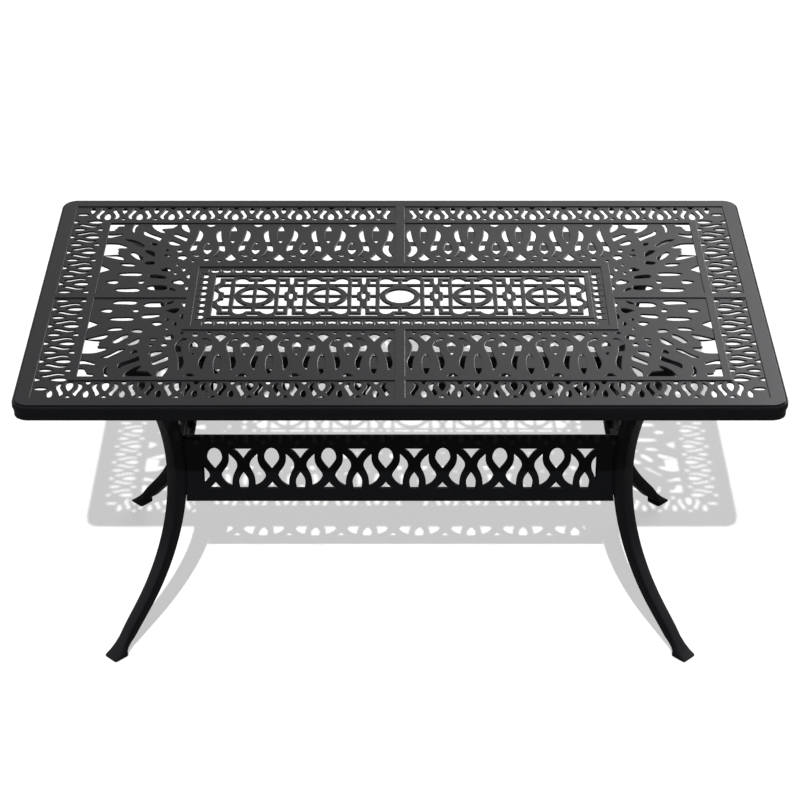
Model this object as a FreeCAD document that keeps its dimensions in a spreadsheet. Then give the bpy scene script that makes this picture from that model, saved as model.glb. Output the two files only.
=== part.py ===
import FreeCAD, Part
import math
import os
import Sketcher

# Cast aluminium patio dining table with an umbrella hole, in millimetres.
# Origin: centre of the floor under the table. X runs along the table, Y to the rear, Z up.
# A lattice top with a deep rim stands on four bowed legs; four lattice stretchers tie the legs.

Vector = FreeCAD.Vector
Placement = FreeCAD.Placement
Rotation = FreeCAD.Rotation

os.makedirs("parts", exist_ok=True)
doc = FreeCAD.newDocument("umbrella_table")

# Driving dimensions
SIZES = (
    ("TopLength", 1500),
    ("TopWidth", 900),
    ("TableHeight", 708),
    ("CornerRadius", 33),
    ("RimHeight", 33),
    ("RimNose", 5),
    ("RimStep", 1.5),
    ("SkirtInset", 3),
    ("SkirtWall", 5),
    ("RimDeckThickness", 5),
    ("RimDeckWidth", 6),
    ("NoseHeight", 16.5),
    ("NoseChamfer", 4),
    ("FrameWidth", 31),
    ("BandWidth", 66),
    ("BandBarWidth", 14),
    ("BandPitch", 70),
    ("RibWidth", 23),
    ("LatticeThickness", 5),
    ("RaisedHeight", 3),
    ("PanelLength", 884),
    ("PanelWidth", 289),
    ("PanelBarWidth", 16),
    ("BeadWidth", 28),
    ("BeadBarWidth", 11),
    ("WavePitch", 103.3),
    ("UmbrellaHoleRadius", 28),
    ("MedallionPitch", 151),
    ("LegRadius", 440),
    ("WaistHeight", 385),
    ("LegSpreadX", 930),
    ("LegSpreadY", 330),
    ("LegTopSide", 34),
    ("LegWaistSide", 32),
    ("LegShinSide", 25.5),
    ("LegAnkleSide", 24.5),
    ("LegCornerCut", 3),
    ("ShinAngle", 42),
    ("LegSteps", 3),
    ("AnkleHeight", 52),
    ("FootReach", 190),
    ("FootHeight", 24),
    ("FootTopSide", 34),
    ("FootSide", 36),
    ("FlangeThickness", 8),
    ("FlangeWidth", 40),
    ("FlangeCornerCut", 12),
    ("BoltSpacing", 80),
    ("BoltEdge", 13),
    ("BossMargin", 2),
    ("BossDepth", 12),
    ("BracketThickness", 6),
    ("BracketReach", 35),
    ("BracketStemWidth", 12),
    ("BracketMargin", 8),
    ("BracketRoot", 5),
    ("StretcherBottom", 308),
    ("StretcherHeight", 161),
    ("StretcherThickness", 7),
    ("StretcherTopBand", 30),
    ("StretcherBottomBand", 35),
    ("StretcherEndGap", 0.6),
    ("LugThickness", 6),
    ("LugEndGap", 2),
    ("DropPitch", 118.5),
    ("BoltDiameter", 8),
    ("BoltHeadFlats", 13),
    ("BoltHeadHeight", 5.3),
    ("LegBoltLength", 20),
    ("StretcherBoltLength", 16),
    ("ClearanceHole", 9),
    ("ThreadClearance", 0.1),
    ("ThreadRunout", 1),
    ("RoundSides", 8),
    ("GlideThickness", 3),
    ("GlideSide", 28),
    ("GlideCornerCut", 4),
    ("SpigotSide", 12),
    ("SpigotCornerCut", 2),
    ("SpigotLength", 10),
    ("SpigotClearance", 0.15),
)

sheet = doc.addObject("Spreadsheet::Sheet", "Sizes")
for row, (alias, value) in enumerate(SIZES, start=1):
    sheet.set(f"A{row}", alias)
    sheet.set(f"B{row}", str(value))
    sheet.setAlias(f"B{row}", alias)
doc.recompute()


def size(alias):
    return float(sheet.get(alias))


def bind(feature, **expressions):
    for name, expression in expressions.items():
        feature.setExpression(name, expression)


# Levels and outlines that several pieces share
half_length = size("TopLength") / 2
half_width = size("TopWidth") / 2
top_level = size("TableHeight")
lattice_top = top_level - size("RaisedHeight")
lattice_bottom = lattice_top - size("LatticeThickness")
boss_bottom = lattice_bottom - size("BossDepth")
flange_bottom = boss_bottom - size("FlangeThickness")
deck_inset = size("RimNose") + size("FrameWidth")
band_outer = (half_length - deck_inset, half_width - deck_inset)
band_inner = tuple(edge - size("BandWidth") for edge in band_outer)
field_edge = tuple(edge - size("BandBarWidth") for edge in band_inner)
panel_outer = (size("PanelLength") / 2, size("PanelWidth") / 2)
bead_outer = tuple(edge - size("PanelBarWidth") for edge in panel_outer)
bead_inner = tuple(edge - size("BeadWidth") for edge in bead_outer)
panel_inner = tuple(edge - size("BeadBarWidth") for edge in bead_inner)
rib_half = size("RibWidth") / 2
waist = Vector(size("LegSpreadX") / 2, size("LegSpreadY") / 2, 0)


# Wires, faces and prisms

def closed_wire(points):
    corners = [Vector(x, y, 0) for x, y in points]
    return Part.makePolygon(corners + corners[:1])


def hole_wire(points):
    """Wire that runs against the outer outline, as an opening's does."""
    area = sum(one[0] * two[1] - two[0] * one[1] for one, two in zip(points, points[1:] + points[:1]))
    return closed_wire(points if area < 0 else points[::-1])


def rectangle(half_x, half_y):
    return [(-half_x, -half_y), (half_x, -half_y), (half_x, half_y), (-half_x, half_y)]


def bore_wire(centre_x, flat_radius):
    """Small bores have few sides, like the shanks in them, to keep the model light."""
    sides = round(size("RoundSides"))
    corner = flat_radius / math.cos(math.pi / sides)
    turns = [2 * math.pi * (side + 0.5) / sides for side in range(sides)]
    return closed_wire([(centre_x + corner * math.cos(turn), corner * math.sin(turn)) for turn in turns])


def rounded_wire(half_x, half_y, radius, level=0):
    edges = []
    for turn, (sx, sy) in enumerate(((1, 1), (-1, 1), (-1, -1), (1, -1))):
        centre = Vector(sx * (half_x - radius), sy * (half_y - radius), level)
        start, end = 90 * turn, 90 * (turn + 1)
        edges.append(Part.makeCircle(radius, centre, Vector(0, 0, 1), start, end))
    sides = []
    for one, two in zip(edges, edges[1:] + edges[:1]):
        sides.append(one)
        sides.append(Part.makeLine(one.lastVertex().Point, two.firstVertex().Point))
    return Part.Wire(sides)


def slot_wire(centre_x, half_run, half_width_of_slot, chamfer):
    x, w, c = half_run, half_width_of_slot, chamfer
    corners = [(x - c, -w), (x, c - w), (x, w - c), (x - c, w)]
    corners += [(-px, -py) for px, py in corners]
    return closed_wire([(centre_x + px, py) for px, py in corners])


def holed_prism(outer, holes, bottom, top):
    face = Part.Face([outer] + holes)
    face.translate(Vector(0, 0, bottom))
    return face.extrude(Vector(0, 0, top - bottom))


def in_four_quarters(outlines):
    copies = []
    for sx in (1, -1):
        for sy in (1, -1):
            copies += [[(sx * x, sy * y) for x, y in outline] for outline in outlines]
    return copies


def shift_x(outline, distance):
    return [(x + distance, y) for x, y in outline]


def mirror_x(outline):
    return [(-x, y) for x, y in outline]


# Lattice openings of the top. Each motif is given in its own cell: along the row in pitches,
# across the row as a share of the row's width.

INNER_DROP = ((0.12, 0.16), (0, 0.58), (-0.12, 0.16))
OUTER_DROP = ((0.41, 0.93), (0.5, 0.55), (0.59, 0.93))
RISING_SLOT = ((0.10, 0.82), (0.36, 0.48), (0.38, 0.10))


def band_openings():
    """Border row: drops point in and out in turn, with a slanted slot between them."""
    outlines = []
    run_length = band_outer[0] - rib_half
    run_width = band_outer[1] - rib_half
    for along_x, run, inner in ((True, run_length, band_inner[1]), (False, run_width, band_inner[0])):
        pitch = run / round(run / size("BandPitch")) if along_x else size("BandPitch")
        edge = band_outer[0] if along_x else band_outer[1]
        motifs = []
        for cell in range(int(run / pitch) + 1):
            motifs.append((cell, 1, INNER_DROP))
            motifs.append((cell, 1, OUTER_DROP))
            motifs.append((cell, 1, RISING_SLOT))
            if along_x or cell:
                motifs.append((cell + 1, -1, RISING_SLOT))
        for cell, side, motif in motifs:
            spots = [(edge - (cell + side * t) * pitch, inner + r * size("BandWidth")) for t, r in motif]
            first = min(spot[0] for spot in spots)
            last = max(spot[0] for spot in spots)
            if first > rib_half + 2 and last < edge - 0.38 * pitch:
                outlines.append(spots if along_x else [(y, x) for x, y in spots])
    return in_four_quarters(outlines)


KITE = ((0, 0.26), (0.115, 0.12), (0, 0.07), (-0.115, 0.12))
UPRIGHT_SLIT = ((0.205, 0.84), (0.13, 0.66), (0.31, 0.25), (0.335, 0.45))


def wave_openings():
    """Long fields beside the panel: upright waves with leaves and kites between them."""
    depth = field_edge[1] - panel_outer[1]
    count = int((panel_outer[0] - rib_half) / size("WavePitch"))
    outlines = []
    for cell in range(count):
        node = cell + 1
        for side, start, motif in ((1, cell + 0.5, KITE), (1, node, UPRIGHT_SLIT), (-1, node, UPRIGHT_SLIT)):
            spots = []
            for t, r in motif:
                spots.append(((start + side * t) * size("WavePitch"), panel_outer[1] + r * depth))
            outlines.append(spots)
    return in_four_quarters(outlines)


# Fan of leaves at each end of the panel, in one quarter of the top:
# place along and across the field (0 to 1), length, width and slant in degrees.
FAN_LEAVES = (
    (0.64, 0.045, 46, 14, 4),
    (0.33, 0.07, 40, 12, 8),
    (0.12, 0.145, 28, 20, 20),
    (0.64, 0.26, 46, 13, 0),
    (0.35, 0.225, 38, 13, -4),
    (0.62, 0.52, 44, 15, 60),
    (0.50, 0.55, 40, 13, 60),
    (0.68, 0.70, 58, 15, 48),
    (0.50, 0.82, 66, 14, 55),
    (0.19, 0.81, 50, 13, 48),
    (0.86, 0.58, 52, 26, 90),
)


def fan_openings():
    low = (panel_outer[0], rib_half)
    span = (field_edge[0] - low[0], field_edge[1] - low[1])
    outlines = []
    for along, across, length, width, slant in FAN_LEAVES:
        centre = (low[0] + along * span[0], low[1] + across * span[1])
        c, s = math.cos(math.radians(slant)), math.sin(math.radians(slant))
        spots = []
        for x, y in ((-length / 2, 0), (length / 2, -width / 2), (length / 2, width / 2)):
            spots.append((centre[0] + x * c - y * s, centre[1] + x * s + y * c))
        outlines.append(spots)
    return in_four_quarters(outlines)


# Middle panel, in millimetres from the middle of a medallion or of a cross, on its right and rear side
RING_CORNER = ((42, 43), (18, 43), (42, 18))
RING_QUARTER = ((4, 4), (27, 4), (20, 20), (4, 27))
ARCH = ((5, 54), (42, 54), (38, 74), (18, 74))
CROSS_SIDE = ((16, 5), (24, 5), (24, 43), (9, 43))
CROSS_SLOT = ((-4, -12), (4, -12), (4, 12), (-4, 12))
RAIL_SLOT = ((-4, 52), (4, 52), (4, 86), (-4, 86))
END_SIDE = ((350, 5), (362, 5), (376, 30), (370, 43), (350, 43))


def panel_openings():
    """Middle panel: five ringed boxes with a cross between each two, and a rail of arches beside them."""
    pitch = size("MedallionPitch")
    rear = [END_SIDE, mirror_x(END_SIDE)]
    for place in (-2, -1, 0, 1, 2):
        motifs = [RING_CORNER, ARCH]
        if place:
            motifs.append(RING_QUARTER)
        for motif in motifs:
            rear.append(shift_x(motif, place * pitch))
            rear.append(shift_x(mirror_x(motif), place * pitch))
    for place in (-1.5, -0.5, 0.5, 1.5):
        for outline in (CROSS_SIDE, mirror_x(CROSS_SIDE), RAIL_SLOT):
            rear.append(shift_x(outline, place * pitch))
    outlines = rear + [[(x, -y) for x, y in outline] for outline in rear]
    return outlines + [shift_x(CROSS_SLOT, place * pitch) for place in (-1.5, -0.5, 0.5, 1.5)]


def umbrella_hole():
    return Part.Wire(Part.makeCircle(size("UmbrellaHoleRadius"), Vector(), Vector(0, 0, -1)))


# Table top

def rim_solid():
    """Hollow edge: a skirt with a rounded nose, swept round the outline."""
    wall_outer = size("SkirtInset")
    wall_inner = wall_outer + size("SkirtWall")
    deck_end = wall_inner + size("RimDeckWidth")
    top = top_level - size("RimStep")
    under = top - size("RimDeckThickness") - size("LatticeThickness") / 2
    bottom = top_level - size("RimHeight")
    chamfer = size("NoseChamfer")
    nose_low = top - size("NoseHeight")
    profile = (
        (wall_outer, bottom), (wall_outer, nose_low), (0, nose_low + chamfer), (0, top - chamfer),
        (wall_outer, top),
        (deck_end, top), (deck_end, under), (wall_inner, under), (wall_inner, bottom),
    )
    start = Vector(half_length, 0, 0)
    points = [start + Vector(-inset, 0, level) for inset, level in profile]
    section = Part.makePolygon(points + points[:1])
    radius = size("CornerRadius")
    spine = rounded_wire(half_length, half_width, radius)
    first = [edge for edge in spine.Edges if abs(edge.CenterOfMass.x - half_length) < 1e-6][0]
    halves = first.split((first.FirstParameter + first.LastParameter) / 2).Edges
    others = [edge for edge in spine.Edges if not edge.isSame(first)]
    ordered = Part.__sortEdges__([halves[0]] + others + [halves[1]])
    sweep = Part.BRepOffsetAPI.MakePipeShell(Part.Wire(ordered))
    sweep.setFrenetMode(False)
    sweep.add(section)
    sweep.build()
    sweep.makeSolid()
    return sweep.shape()


def lattice_layer():
    inset = size("SkirtInset") + size("SkirtWall") + 2
    outer = rounded_wire(half_length - inset, half_width - inset, size("CornerRadius") - inset)
    outlines = band_openings() + wave_openings() + fan_openings() + panel_openings()
    holes = [hole_wire(outline) for outline in outlines]
    holes.append(umbrella_hole())
    return holed_prism(outer, holes, lattice_bottom, lattice_top)


def raised_layer():
    inset = size("RimNose")
    outer = rounded_wire(half_length - inset, half_width - inset, size("CornerRadius") - inset)
    corner = [
        (band_inner[0], rib_half), (band_outer[0], rib_half), band_outer,
        (rib_half, band_outer[1]), (rib_half, band_inner[1]), band_inner,
    ]
    field = [
        (panel_outer[0], rib_half), (field_edge[0], rib_half), field_edge,
        (rib_half, field_edge[1]), (rib_half, panel_outer[1]), panel_outer,
    ]
    quarter = [corner, field]
    openings = [hole_wire(outline) for outline in in_four_quarters(quarter)]
    frame = holed_prism(outer, openings, lattice_bottom + 1, top_level)
    strip = Part.Face([closed_wire(rectangle(*bead_outer)), hole_wire(rectangle(*bead_inner))])
    strip = strip.extrude(Vector(0, 0, top_level))
    panel = Part.Face(closed_wire(rectangle(*panel_inner))).extrude(Vector(0, 0, top_level))
    return frame.cut([strip, panel])


def leg_frame(sx, sy):
    """Frame of one leg: its origin is on the waist's axis, X points outwards along the diagonal."""
    turn = math.degrees(math.atan2(sy, sx))
    return Placement(Vector(sx * waist.x, sy * waist.y, 0), Rotation(Vector(0, 0, 1), turn))


def bow(level):
    """How far the leg's centre line stands out from the waist at a level: an arc, then a straight shin."""
    radius = size("LegRadius")
    slope = math.radians(size("ShinAngle"))
    drop = size("WaistHeight") - level
    shin = drop - radius * math.sin(slope)
    if shin > 0:
        return radius * (1 - math.cos(slope)) + shin * math.tan(slope)
    return radius - math.sqrt(radius ** 2 - drop ** 2)


CORNERS = {
    "front_left": (-1, -1),
    "front_right": (1, -1),
    "rear_left": (-1, 1),
    "rear_right": (1, 1),
}

flange_centre = bow(flange_bottom)
bolt_places = [flange_centre - size("BoltSpacing") / 2, flange_centre + size("BoltSpacing") / 2]
flange_half = size("BoltSpacing") / 2 + size("BoltEdge")
bolt_radius = size("BoltDiameter") / 2


def boss_solids():
    """Pads under the lattice that the legs bolt to, with blind tapped holes."""
    solids = []
    margin = size("BossMargin")
    depth = size("LegBoltLength") - size("FlangeThickness") + size("ThreadRunout")
    for sx, sy in CORNERS.values():
        half_pad = size("FlangeWidth") / 2 + margin
        outer = slot_wire(flange_centre, flange_half + margin, half_pad, size("FlangeCornerCut"))
        pad = holed_prism(outer, [], boss_bottom, lattice_bottom + 2)
        for place in bolt_places:
            bore = bore_wire(place, bolt_radius + size("ThreadClearance"))
            pad = pad.cut(holed_prism(bore, [], boss_bottom, boss_bottom + depth))
        pad.Placement = leg_frame(sx, sy)
        solids.append(pad)
    return solids


def make_table_top():
    pieces = []
    for name, shape in (("Rim", rim_solid()), ("Lattice", lattice_layer()), ("RaisedBars", raised_layer())):
        feature = doc.addObject("Part::Feature", name)
        feature.Shape = shape
        pieces.append(feature)
    for name, shape in zip(CORNERS, boss_solids()):
        feature = doc.addObject("Part::Feature", "Boss_" + name)
        feature.Shape = shape
        pieces.append(feature)
    casting = doc.addObject("Part::MultiFuse", "Casting")
    casting.Shapes = pieces
    casting.Refine = True
    return casting


# PartDesign helpers

def plane_of(body, role):
    return next(feature for feature in body.Origin.OriginFeatures if feature.Role == role)


def new_sketch(body, name, offset=Placement(), role="XY_Plane"):
    sketch = body.newObject("Sketcher::SketchObject", name)
    sketch.AttachmentSupport = (plane_of(body, role), [""])
    sketch.MapMode = "FlatFace"
    sketch.AttachmentOffset = offset
    return sketch


def draw_outline(sketch, points):
    """Closed chain of straight lines."""
    first = sketch.GeometryCount
    count = len(points)
    lines = []
    for one, two in zip(points, points[1:] + points[:1]):
        lines.append(Part.LineSegment(Vector(*one, 0), Vector(*two, 0)))
    sketch.addGeometry(lines, False)
    for line in range(count):
        following = first + (line + 1) % count
        sketch.addConstraint(Sketcher.Constraint("Coincident", first + line, 2, following, 1))


def draw_section(sketch, half_x, half_y, cut, expressions):
    """Rectangle with cut corners, centred on the sketch's origin and driven by the sheet."""
    a, b, k = half_x, half_y, cut
    points = [
        (a, k - b), (a, b - k), (a - k, b), (k - a, b),
        (-a, b - k), (-a, k - b), (k - a, -b), (a - k, -b),
    ]
    draw_outline(sketch, points)
    for line, end, other, its_end, axis in (
        (0, 1, 0, 2, -1), (2, 1, 2, 2, -2), (4, 1, 0, 2, -2),
        (4, 2, 0, 1, -2), (6, 1, 2, 2, -1), (6, 2, 2, 1, -1),
    ):
        sketch.addConstraint(Sketcher.Constraint("Symmetric", line, end, other, its_end, axis))
    for kind, ends, value, expression in (
        ("DistanceX", (-1, 1, 0, 2), a, expressions[0]),
        ("DistanceY", (-1, 1, 2, 1), b, expressions[1]),
        ("DistanceX", (2, 1, 0, 2), k, expressions[2]),
        ("DistanceY", (0, 2, 2, 1), k, expressions[2]),
    ):
        index = sketch.addConstraint(Sketcher.Constraint(kind, *ends, value))
        sketch.setExpression(f"Constraints[{index}]", expression)


def add_pad(body, name, sketch, length):
    pad = body.newObject("PartDesign::Pad", name)
    pad.Profile = sketch
    pad.setExpression("Length", length)
    return pad


def add_pocket(body, name, sketch, length, reverse):
    pocket = body.newObject("PartDesign::Pocket", name)
    pocket.Profile = sketch
    pocket.setExpression("Length", length)
    pocket.Reversed = reverse
    return pocket


def add_bore(body, name, frame, flat_radius, radius_expression, depth_expression):
    """Eight-sided bore along the Z axis of a frame, into the solid."""
    sketch = new_sketch(body, "Bore_" + name, frame)
    cut = flat_radius * (2 - math.sqrt(2))
    cut_expression = f"({radius_expression}) * {2 - math.sqrt(2):.6f}"
    expressions = (radius_expression, radius_expression, cut_expression)
    draw_section(sketch, flat_radius, flat_radius, cut, expressions)
    return add_pocket(body, name, sketch, depth_expression, True)


# Legs

def leg_section(body, name, angle, alias, share=1, level=None):
    """Section square to the centre line, at an angle from the waist or at a level on the straight shin.

    Its side goes from the waist's to the named one by a share."""
    if level is None:
        level = size("WaistHeight") + size("LegRadius") * math.sin(math.radians(angle))
    place = Vector(bow(level), 0, level)
    sketch = new_sketch(body, name, Placement(place, Rotation(Vector(0, 1, 0), angle)))
    half = (size("LegWaistSide") + (size(alias) - size("LegWaistSide")) * share) / 2
    expression = f"(Sizes.LegWaistSide + (Sizes.{alias} - Sizes.LegWaistSide) * {share}) / 2"
    draw_section(sketch, half, half, size("LegCornerCut"), (expression, expression, "Sizes.LegCornerCut"))
    return sketch


def level_section(body, name, out, level, half_x, half_y, expressions):
    """Section that lies level, such as the sole."""
    sketch = new_sketch(body, name, Placement(Vector(out, 0, level), Rotation()))
    draw_section(sketch, half_x, half_y, size("LegCornerCut"), expressions)
    return sketch


def bracket_outline():
    """Forked bracket on the inner face of a leg: two arms behind the stretchers' lugs and a short stem.

    Given first along the stretchers, then turned into the leg's own frame."""
    face = size("StretcherThickness") / 2 + size("LugThickness")
    back = face + size("BracketThickness")
    tip = stretcher_end_inset + size("BracketReach")
    stem = size("BracketStemWidth") / math.sqrt(2)
    root = size("BracketRoot")
    corners = [
        (-tip, -back), (-back, -back), (-back, -tip), (-face, -tip), (-face, -face - stem),
        (root + stem / 2, root - stem / 2), (root - stem / 2, root + stem / 2),
        (-face - stem, -face), (-tip, -face),
    ]
    turned = Rotation(Vector(0, 0, 1), -45)
    return [tuple(turned.multVec(Vector(u, v, 0)))[:2] for u, v in corners]


leg_corner = size("LegWaistSide") / math.sqrt(2) - size("LegCornerCut") / math.sqrt(2)
stretcher_end_inset = leg_corner + size("StretcherEndGap")
stretcher_middle = size("StretcherBottom") + size("StretcherHeight") / 2


def make_leg(name, corner):
    body = doc.addObject("PartDesign::Body", name)
    flange_mid = boss_bottom - size("FlangeThickness") / 2
    lean = math.asin((flange_mid - size("WaistHeight")) / size("LegRadius"))
    head = level_section(
        body, "Head_" + name, bow(flange_mid), flange_mid,
        size("LegTopSide") / 2 / math.cos(lean), size("LegTopSide") / 2,
        (f"Sizes.LegTopSide / 2 * {1 / math.cos(lean):.6f}", "Sizes.LegTopSide / 2", "Sizes.LegCornerCut"),
    )
    steps = round(size("LegSteps"))
    arc_sections = []
    for step in range(steps - 1, 0, -1):
        angle = math.degrees(lean) * step / steps
        arc_sections.append(leg_section(body, f"Upper{step}_{name}", angle, "LegTopSide", step / steps))
    for step in range(steps + 1):
        angle = -size("ShinAngle") * step / steps
        arc_sections.append(leg_section(body, f"Lower{step}_{name}", angle, "LegShinSide", step / steps))
    shaft = body.newObject("PartDesign::AdditiveLoft", "Shaft_" + name)
    shaft.Profile = head
    shaft.Sections = arc_sections
    shaft.Ruled = True
    shin_start = leg_section(body, "ShinStart_" + name, -size("ShinAngle"), "LegShinSide")
    ankle = leg_section(body, "Ankle_" + name, -size("ShinAngle"), "LegAnkleSide", level=size("AnkleHeight"))
    foot_sections = [ankle]
    out = size("FootReach")
    for alias, level in (("FootTopSide", size("FootHeight")), ("FootSide", size("GlideThickness"))):
        half = size(alias) / 2
        expressions = (f"Sizes.{alias} / 2", f"Sizes.{alias} / 2", "Sizes.LegCornerCut")
        section = level_section(body, f"{alias}_{name}", out, level, half, half, expressions)
        foot_sections.append(section)
    foot = body.newObject("PartDesign::AdditiveLoft", "Foot_" + name)
    foot.Profile = shin_start
    foot.Sections = foot_sections
    foot.Ruled = True
    flange_place = Placement(Vector(flange_centre, 0, flange_bottom), Rotation())
    flange = new_sketch(body, "FlangeOutline_" + name, flange_place)
    half_x, half_y = flange_half, size("FlangeWidth") / 2
    expressions = ("Sizes.BoltSpacing / 2 + Sizes.BoltEdge", "Sizes.FlangeWidth / 2", "Sizes.FlangeCornerCut")
    draw_section(flange, half_x, half_y, size("FlangeCornerCut"), expressions)
    add_pad(body, "Flange_" + name, flange, "Sizes.FlangeThickness")
    low = size("StretcherBottom") + size("BracketMargin")
    arms = new_sketch(body, "BracketOutline_" + name, Placement(Vector(0, 0, low), Rotation()))
    draw_outline(arms, bracket_outline())
    add_pad(body, "Bracket_" + name, arms, "Sizes.StretcherHeight - 2 * Sizes.BracketMargin")
    clearance = size("ClearanceHole") / 2
    for tag, place in zip(("InnerBolt_", "OuterBolt_"), bolt_places):
        frame = Placement(Vector(place, 0, flange_bottom), Rotation())
        add_bore(body, tag + name, frame, clearance, "Sizes.ClearanceHole / 2", "Sizes.FlangeThickness")
    for tag, side in (("LongArm_", 1), ("ShortArm_", -1)):
        frame = arm_frame(side)
        add_bore(body, tag + name, frame, clearance, "Sizes.ClearanceHole / 2", "Sizes.BracketThickness")
    socket_place = Vector(size("FootReach"), 0, size("GlideThickness"))
    socket = new_sketch(body, "SocketOutline_" + name, Placement(socket_place, Rotation()))
    half = size("SpigotSide") / 2 + size("SpigotClearance")
    expression = "Sizes.SpigotSide / 2 + Sizes.SpigotClearance"
    expressions = (expression, expression, "Sizes.SpigotCornerCut")
    draw_section(socket, half, half, size("SpigotCornerCut"), expressions)
    add_pocket(body, "Socket_" + name, socket, "Sizes.SpigotLength + Sizes.SpigotClearance", True)
    body.Label = name
    body.Placement = leg_frame(*corner)
    return body


def arm_frame(side):
    """Frame of one bracket arm's bolt in the leg's frame: Z along the bolt towards the stretcher."""
    face = size("StretcherThickness") / 2 + size("LugThickness") + size("BracketThickness")
    along = stretcher_end_inset + size("BracketReach") / 2
    flat = Rotation(Vector(0, 0, 1), -45)
    if side > 0:
        place, axis = Vector(-along, -face, stretcher_middle), Vector(0, 1, 0)
    else:
        place, axis = Vector(-face, -along, stretcher_middle), Vector(1, 0, 0)
    return Placement(flat.multVec(place), Rotation(Vector(0, 0, 1), flat.multVec(axis)))


# Stretchers

UPRIGHT_DROP = ((0, 0.50), (14.6, 0.80), (0, 1.00), (-14.6, 0.80))
HANGING_DROP = ((0, 0.39), (9.5, 0.13), (0, 0), (-9.5, 0.13))
CURL = ((29, 0.86), (45, 0.60), (34.5, 0.07), (13, 0.35))
TOP_WEDGE = ((-18, 0.98), (0, 0.76), (18, 0.98))


def stretcher_openings(half_window):
    """Row of drops that stand and hang in turn, with curls between them."""
    low = size("StretcherBottomBand")
    height = size("StretcherHeight") - low - size("StretcherTopBand")
    count = max(1, round(2 * half_window / size("DropPitch")))
    outlines = []
    for cell in range(-1, count + 1):
        axis = (cell - (count - 1) / 2) * size("DropPitch")
        stand = axis - size("DropPitch") / 4
        hang = axis + size("DropPitch") / 4
        for centre, side, motif in (
            (stand, 1, UPRIGHT_DROP), (stand, 1, CURL), (stand, -1, CURL),
            (hang, 1, HANGING_DROP), (hang, 1, TOP_WEDGE),
        ):
            spots = [(centre + side * x, low + (0.01 + 0.98 * r) * height) for x, r in motif]
            if max(abs(x) for x, z in spots) < half_window:
                outlines.append(spots)
    return outlines


def make_stretcher(name, half_span, centre, turn):
    """Flat lattice casting; its ends follow the bowed legs, and a lug behind each end takes a bolt."""
    body = doc.addObject("PartDesign::Body", name)
    height = size("StretcherHeight")
    bottom = size("StretcherBottom")
    half = half_span - stretcher_end_inset
    flare = bow(bottom) / math.sqrt(2)
    flare_top = bow(bottom + height) / math.sqrt(2)
    plate_place = Placement(Vector(0, 0, -size("StretcherThickness") / 2), Rotation())
    plate = new_sketch(body, "Plate_" + name, plate_place, "XZ_Plane")
    ends = []
    for side in (1, -1):
        low = Vector(side * (half + flare), 0, 0)
        middle = Vector(side * half, size("WaistHeight") - bottom, 0)
        high = Vector(side * (half + flare_top), height, 0)
        ends.append((low, middle, high))
    (right_low, right_mid, right_high), (left_low, left_mid, left_high) = ends
    plate.addGeometry([
        Part.LineSegment(left_low, right_low),
        Part.Arc(right_low, right_mid, right_high),
        Part.LineSegment(right_high, left_high),
        Part.Arc(left_high, left_mid, left_low),
    ], False)
    half_window = half - size("BracketReach")
    for outline in stretcher_openings(half_window):
        draw_outline(plate, outline)
    add_pad(body, "Lattice_" + name, plate, "Sizes.StretcherThickness")
    back = size("StretcherThickness") / 2 + size("LugThickness")
    lugs = new_sketch(body, "LugOutline_" + name, Placement(Vector(0, 0, -back), Rotation()), "XZ_Plane")
    margin = size("BracketMargin")
    for side in (1, -1):
        inner, outer = side * half_window, side * (half - size("LugEndGap"))
        low, high = margin, height - margin
        draw_outline(lugs, [(inner, low), (outer, low), (outer, high), (inner, high)])
    add_pad(body, "Lugs_" + name, lugs, "Sizes.LugThickness")
    depth = "Sizes.StretcherBoltLength - Sizes.BracketThickness + Sizes.ThreadRunout"
    radius_expression = "Sizes.BoltDiameter / 2 + Sizes.ThreadClearance"
    for tag, side in (("RightThread_", 1), ("LeftThread_", -1)):
        place = Vector(side * (half - size("BracketReach") / 2), back, height / 2)
        frame = Placement(place, Rotation(Vector(1, 0, 0), 90))
        add_bore(body, tag + name, frame, bolt_radius + size("ThreadClearance"), radius_expression, depth)
    body.Label = name
    body.Placement = Placement(centre + Vector(0, 0, bottom), Rotation(Vector(0, 0, 1), turn))
    return body


# Foot glides

def make_glide(name, corner):
    body = doc.addObject("PartDesign::Body", name)
    sole = new_sketch(body, "Sole_" + name)
    half = size("GlideSide") / 2
    expressions = ("Sizes.GlideSide / 2", "Sizes.GlideSide / 2", "Sizes.GlideCornerCut")
    draw_section(sole, half, half, size("GlideCornerCut"), expressions)
    add_pad(body, "Pad_" + name, sole, "Sizes.GlideThickness")
    spigot = new_sketch(body, "SpigotOutline_" + name)
    half = size("SpigotSide") / 2
    expressions = ("Sizes.SpigotSide / 2", "Sizes.SpigotSide / 2", "Sizes.SpigotCornerCut")
    draw_section(spigot, half, half, size("SpigotCornerCut"), expressions)
    add_pad(body, "Spigot_" + name, spigot, "Sizes.GlideThickness + Sizes.SpigotLength")
    body.Label = name
    place = leg_frame(*corner).multVec(Vector(size("FootReach"), 0, 0))
    body.Placement = Placement(place, leg_frame(*corner).Rotation)
    return body


# Bolts

def make_bolt(name, place, length):
    """Hex bolt: the underside of its head lies on its place, its shank points along Z."""
    head = doc.addObject("Part::Prism", "Head_" + name)
    head.Polygon = 6
    bind(head, Circumradius="Sizes.BoltHeadFlats / sqrt(3)", Height="Sizes.BoltHeadHeight")
    head.Placement = Placement(Vector(0, 0, -size("BoltHeadHeight")), Rotation())
    shank = doc.addObject("Part::Prism", "Shank_" + name)
    bind(shank, Polygon="Sizes.RoundSides", Circumradius="Sizes.BoltDiameter / 2", Height=length)
    shank.Placement = Placement(Vector(), Rotation(Vector(0, 0, 1), 180 / size("RoundSides")))
    bolt = doc.addObject("Part::Fuse", "Bolt_" + name)
    bolt.Base = head
    bolt.Tool = shank
    bolt.Placement = place
    return bolt


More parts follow.
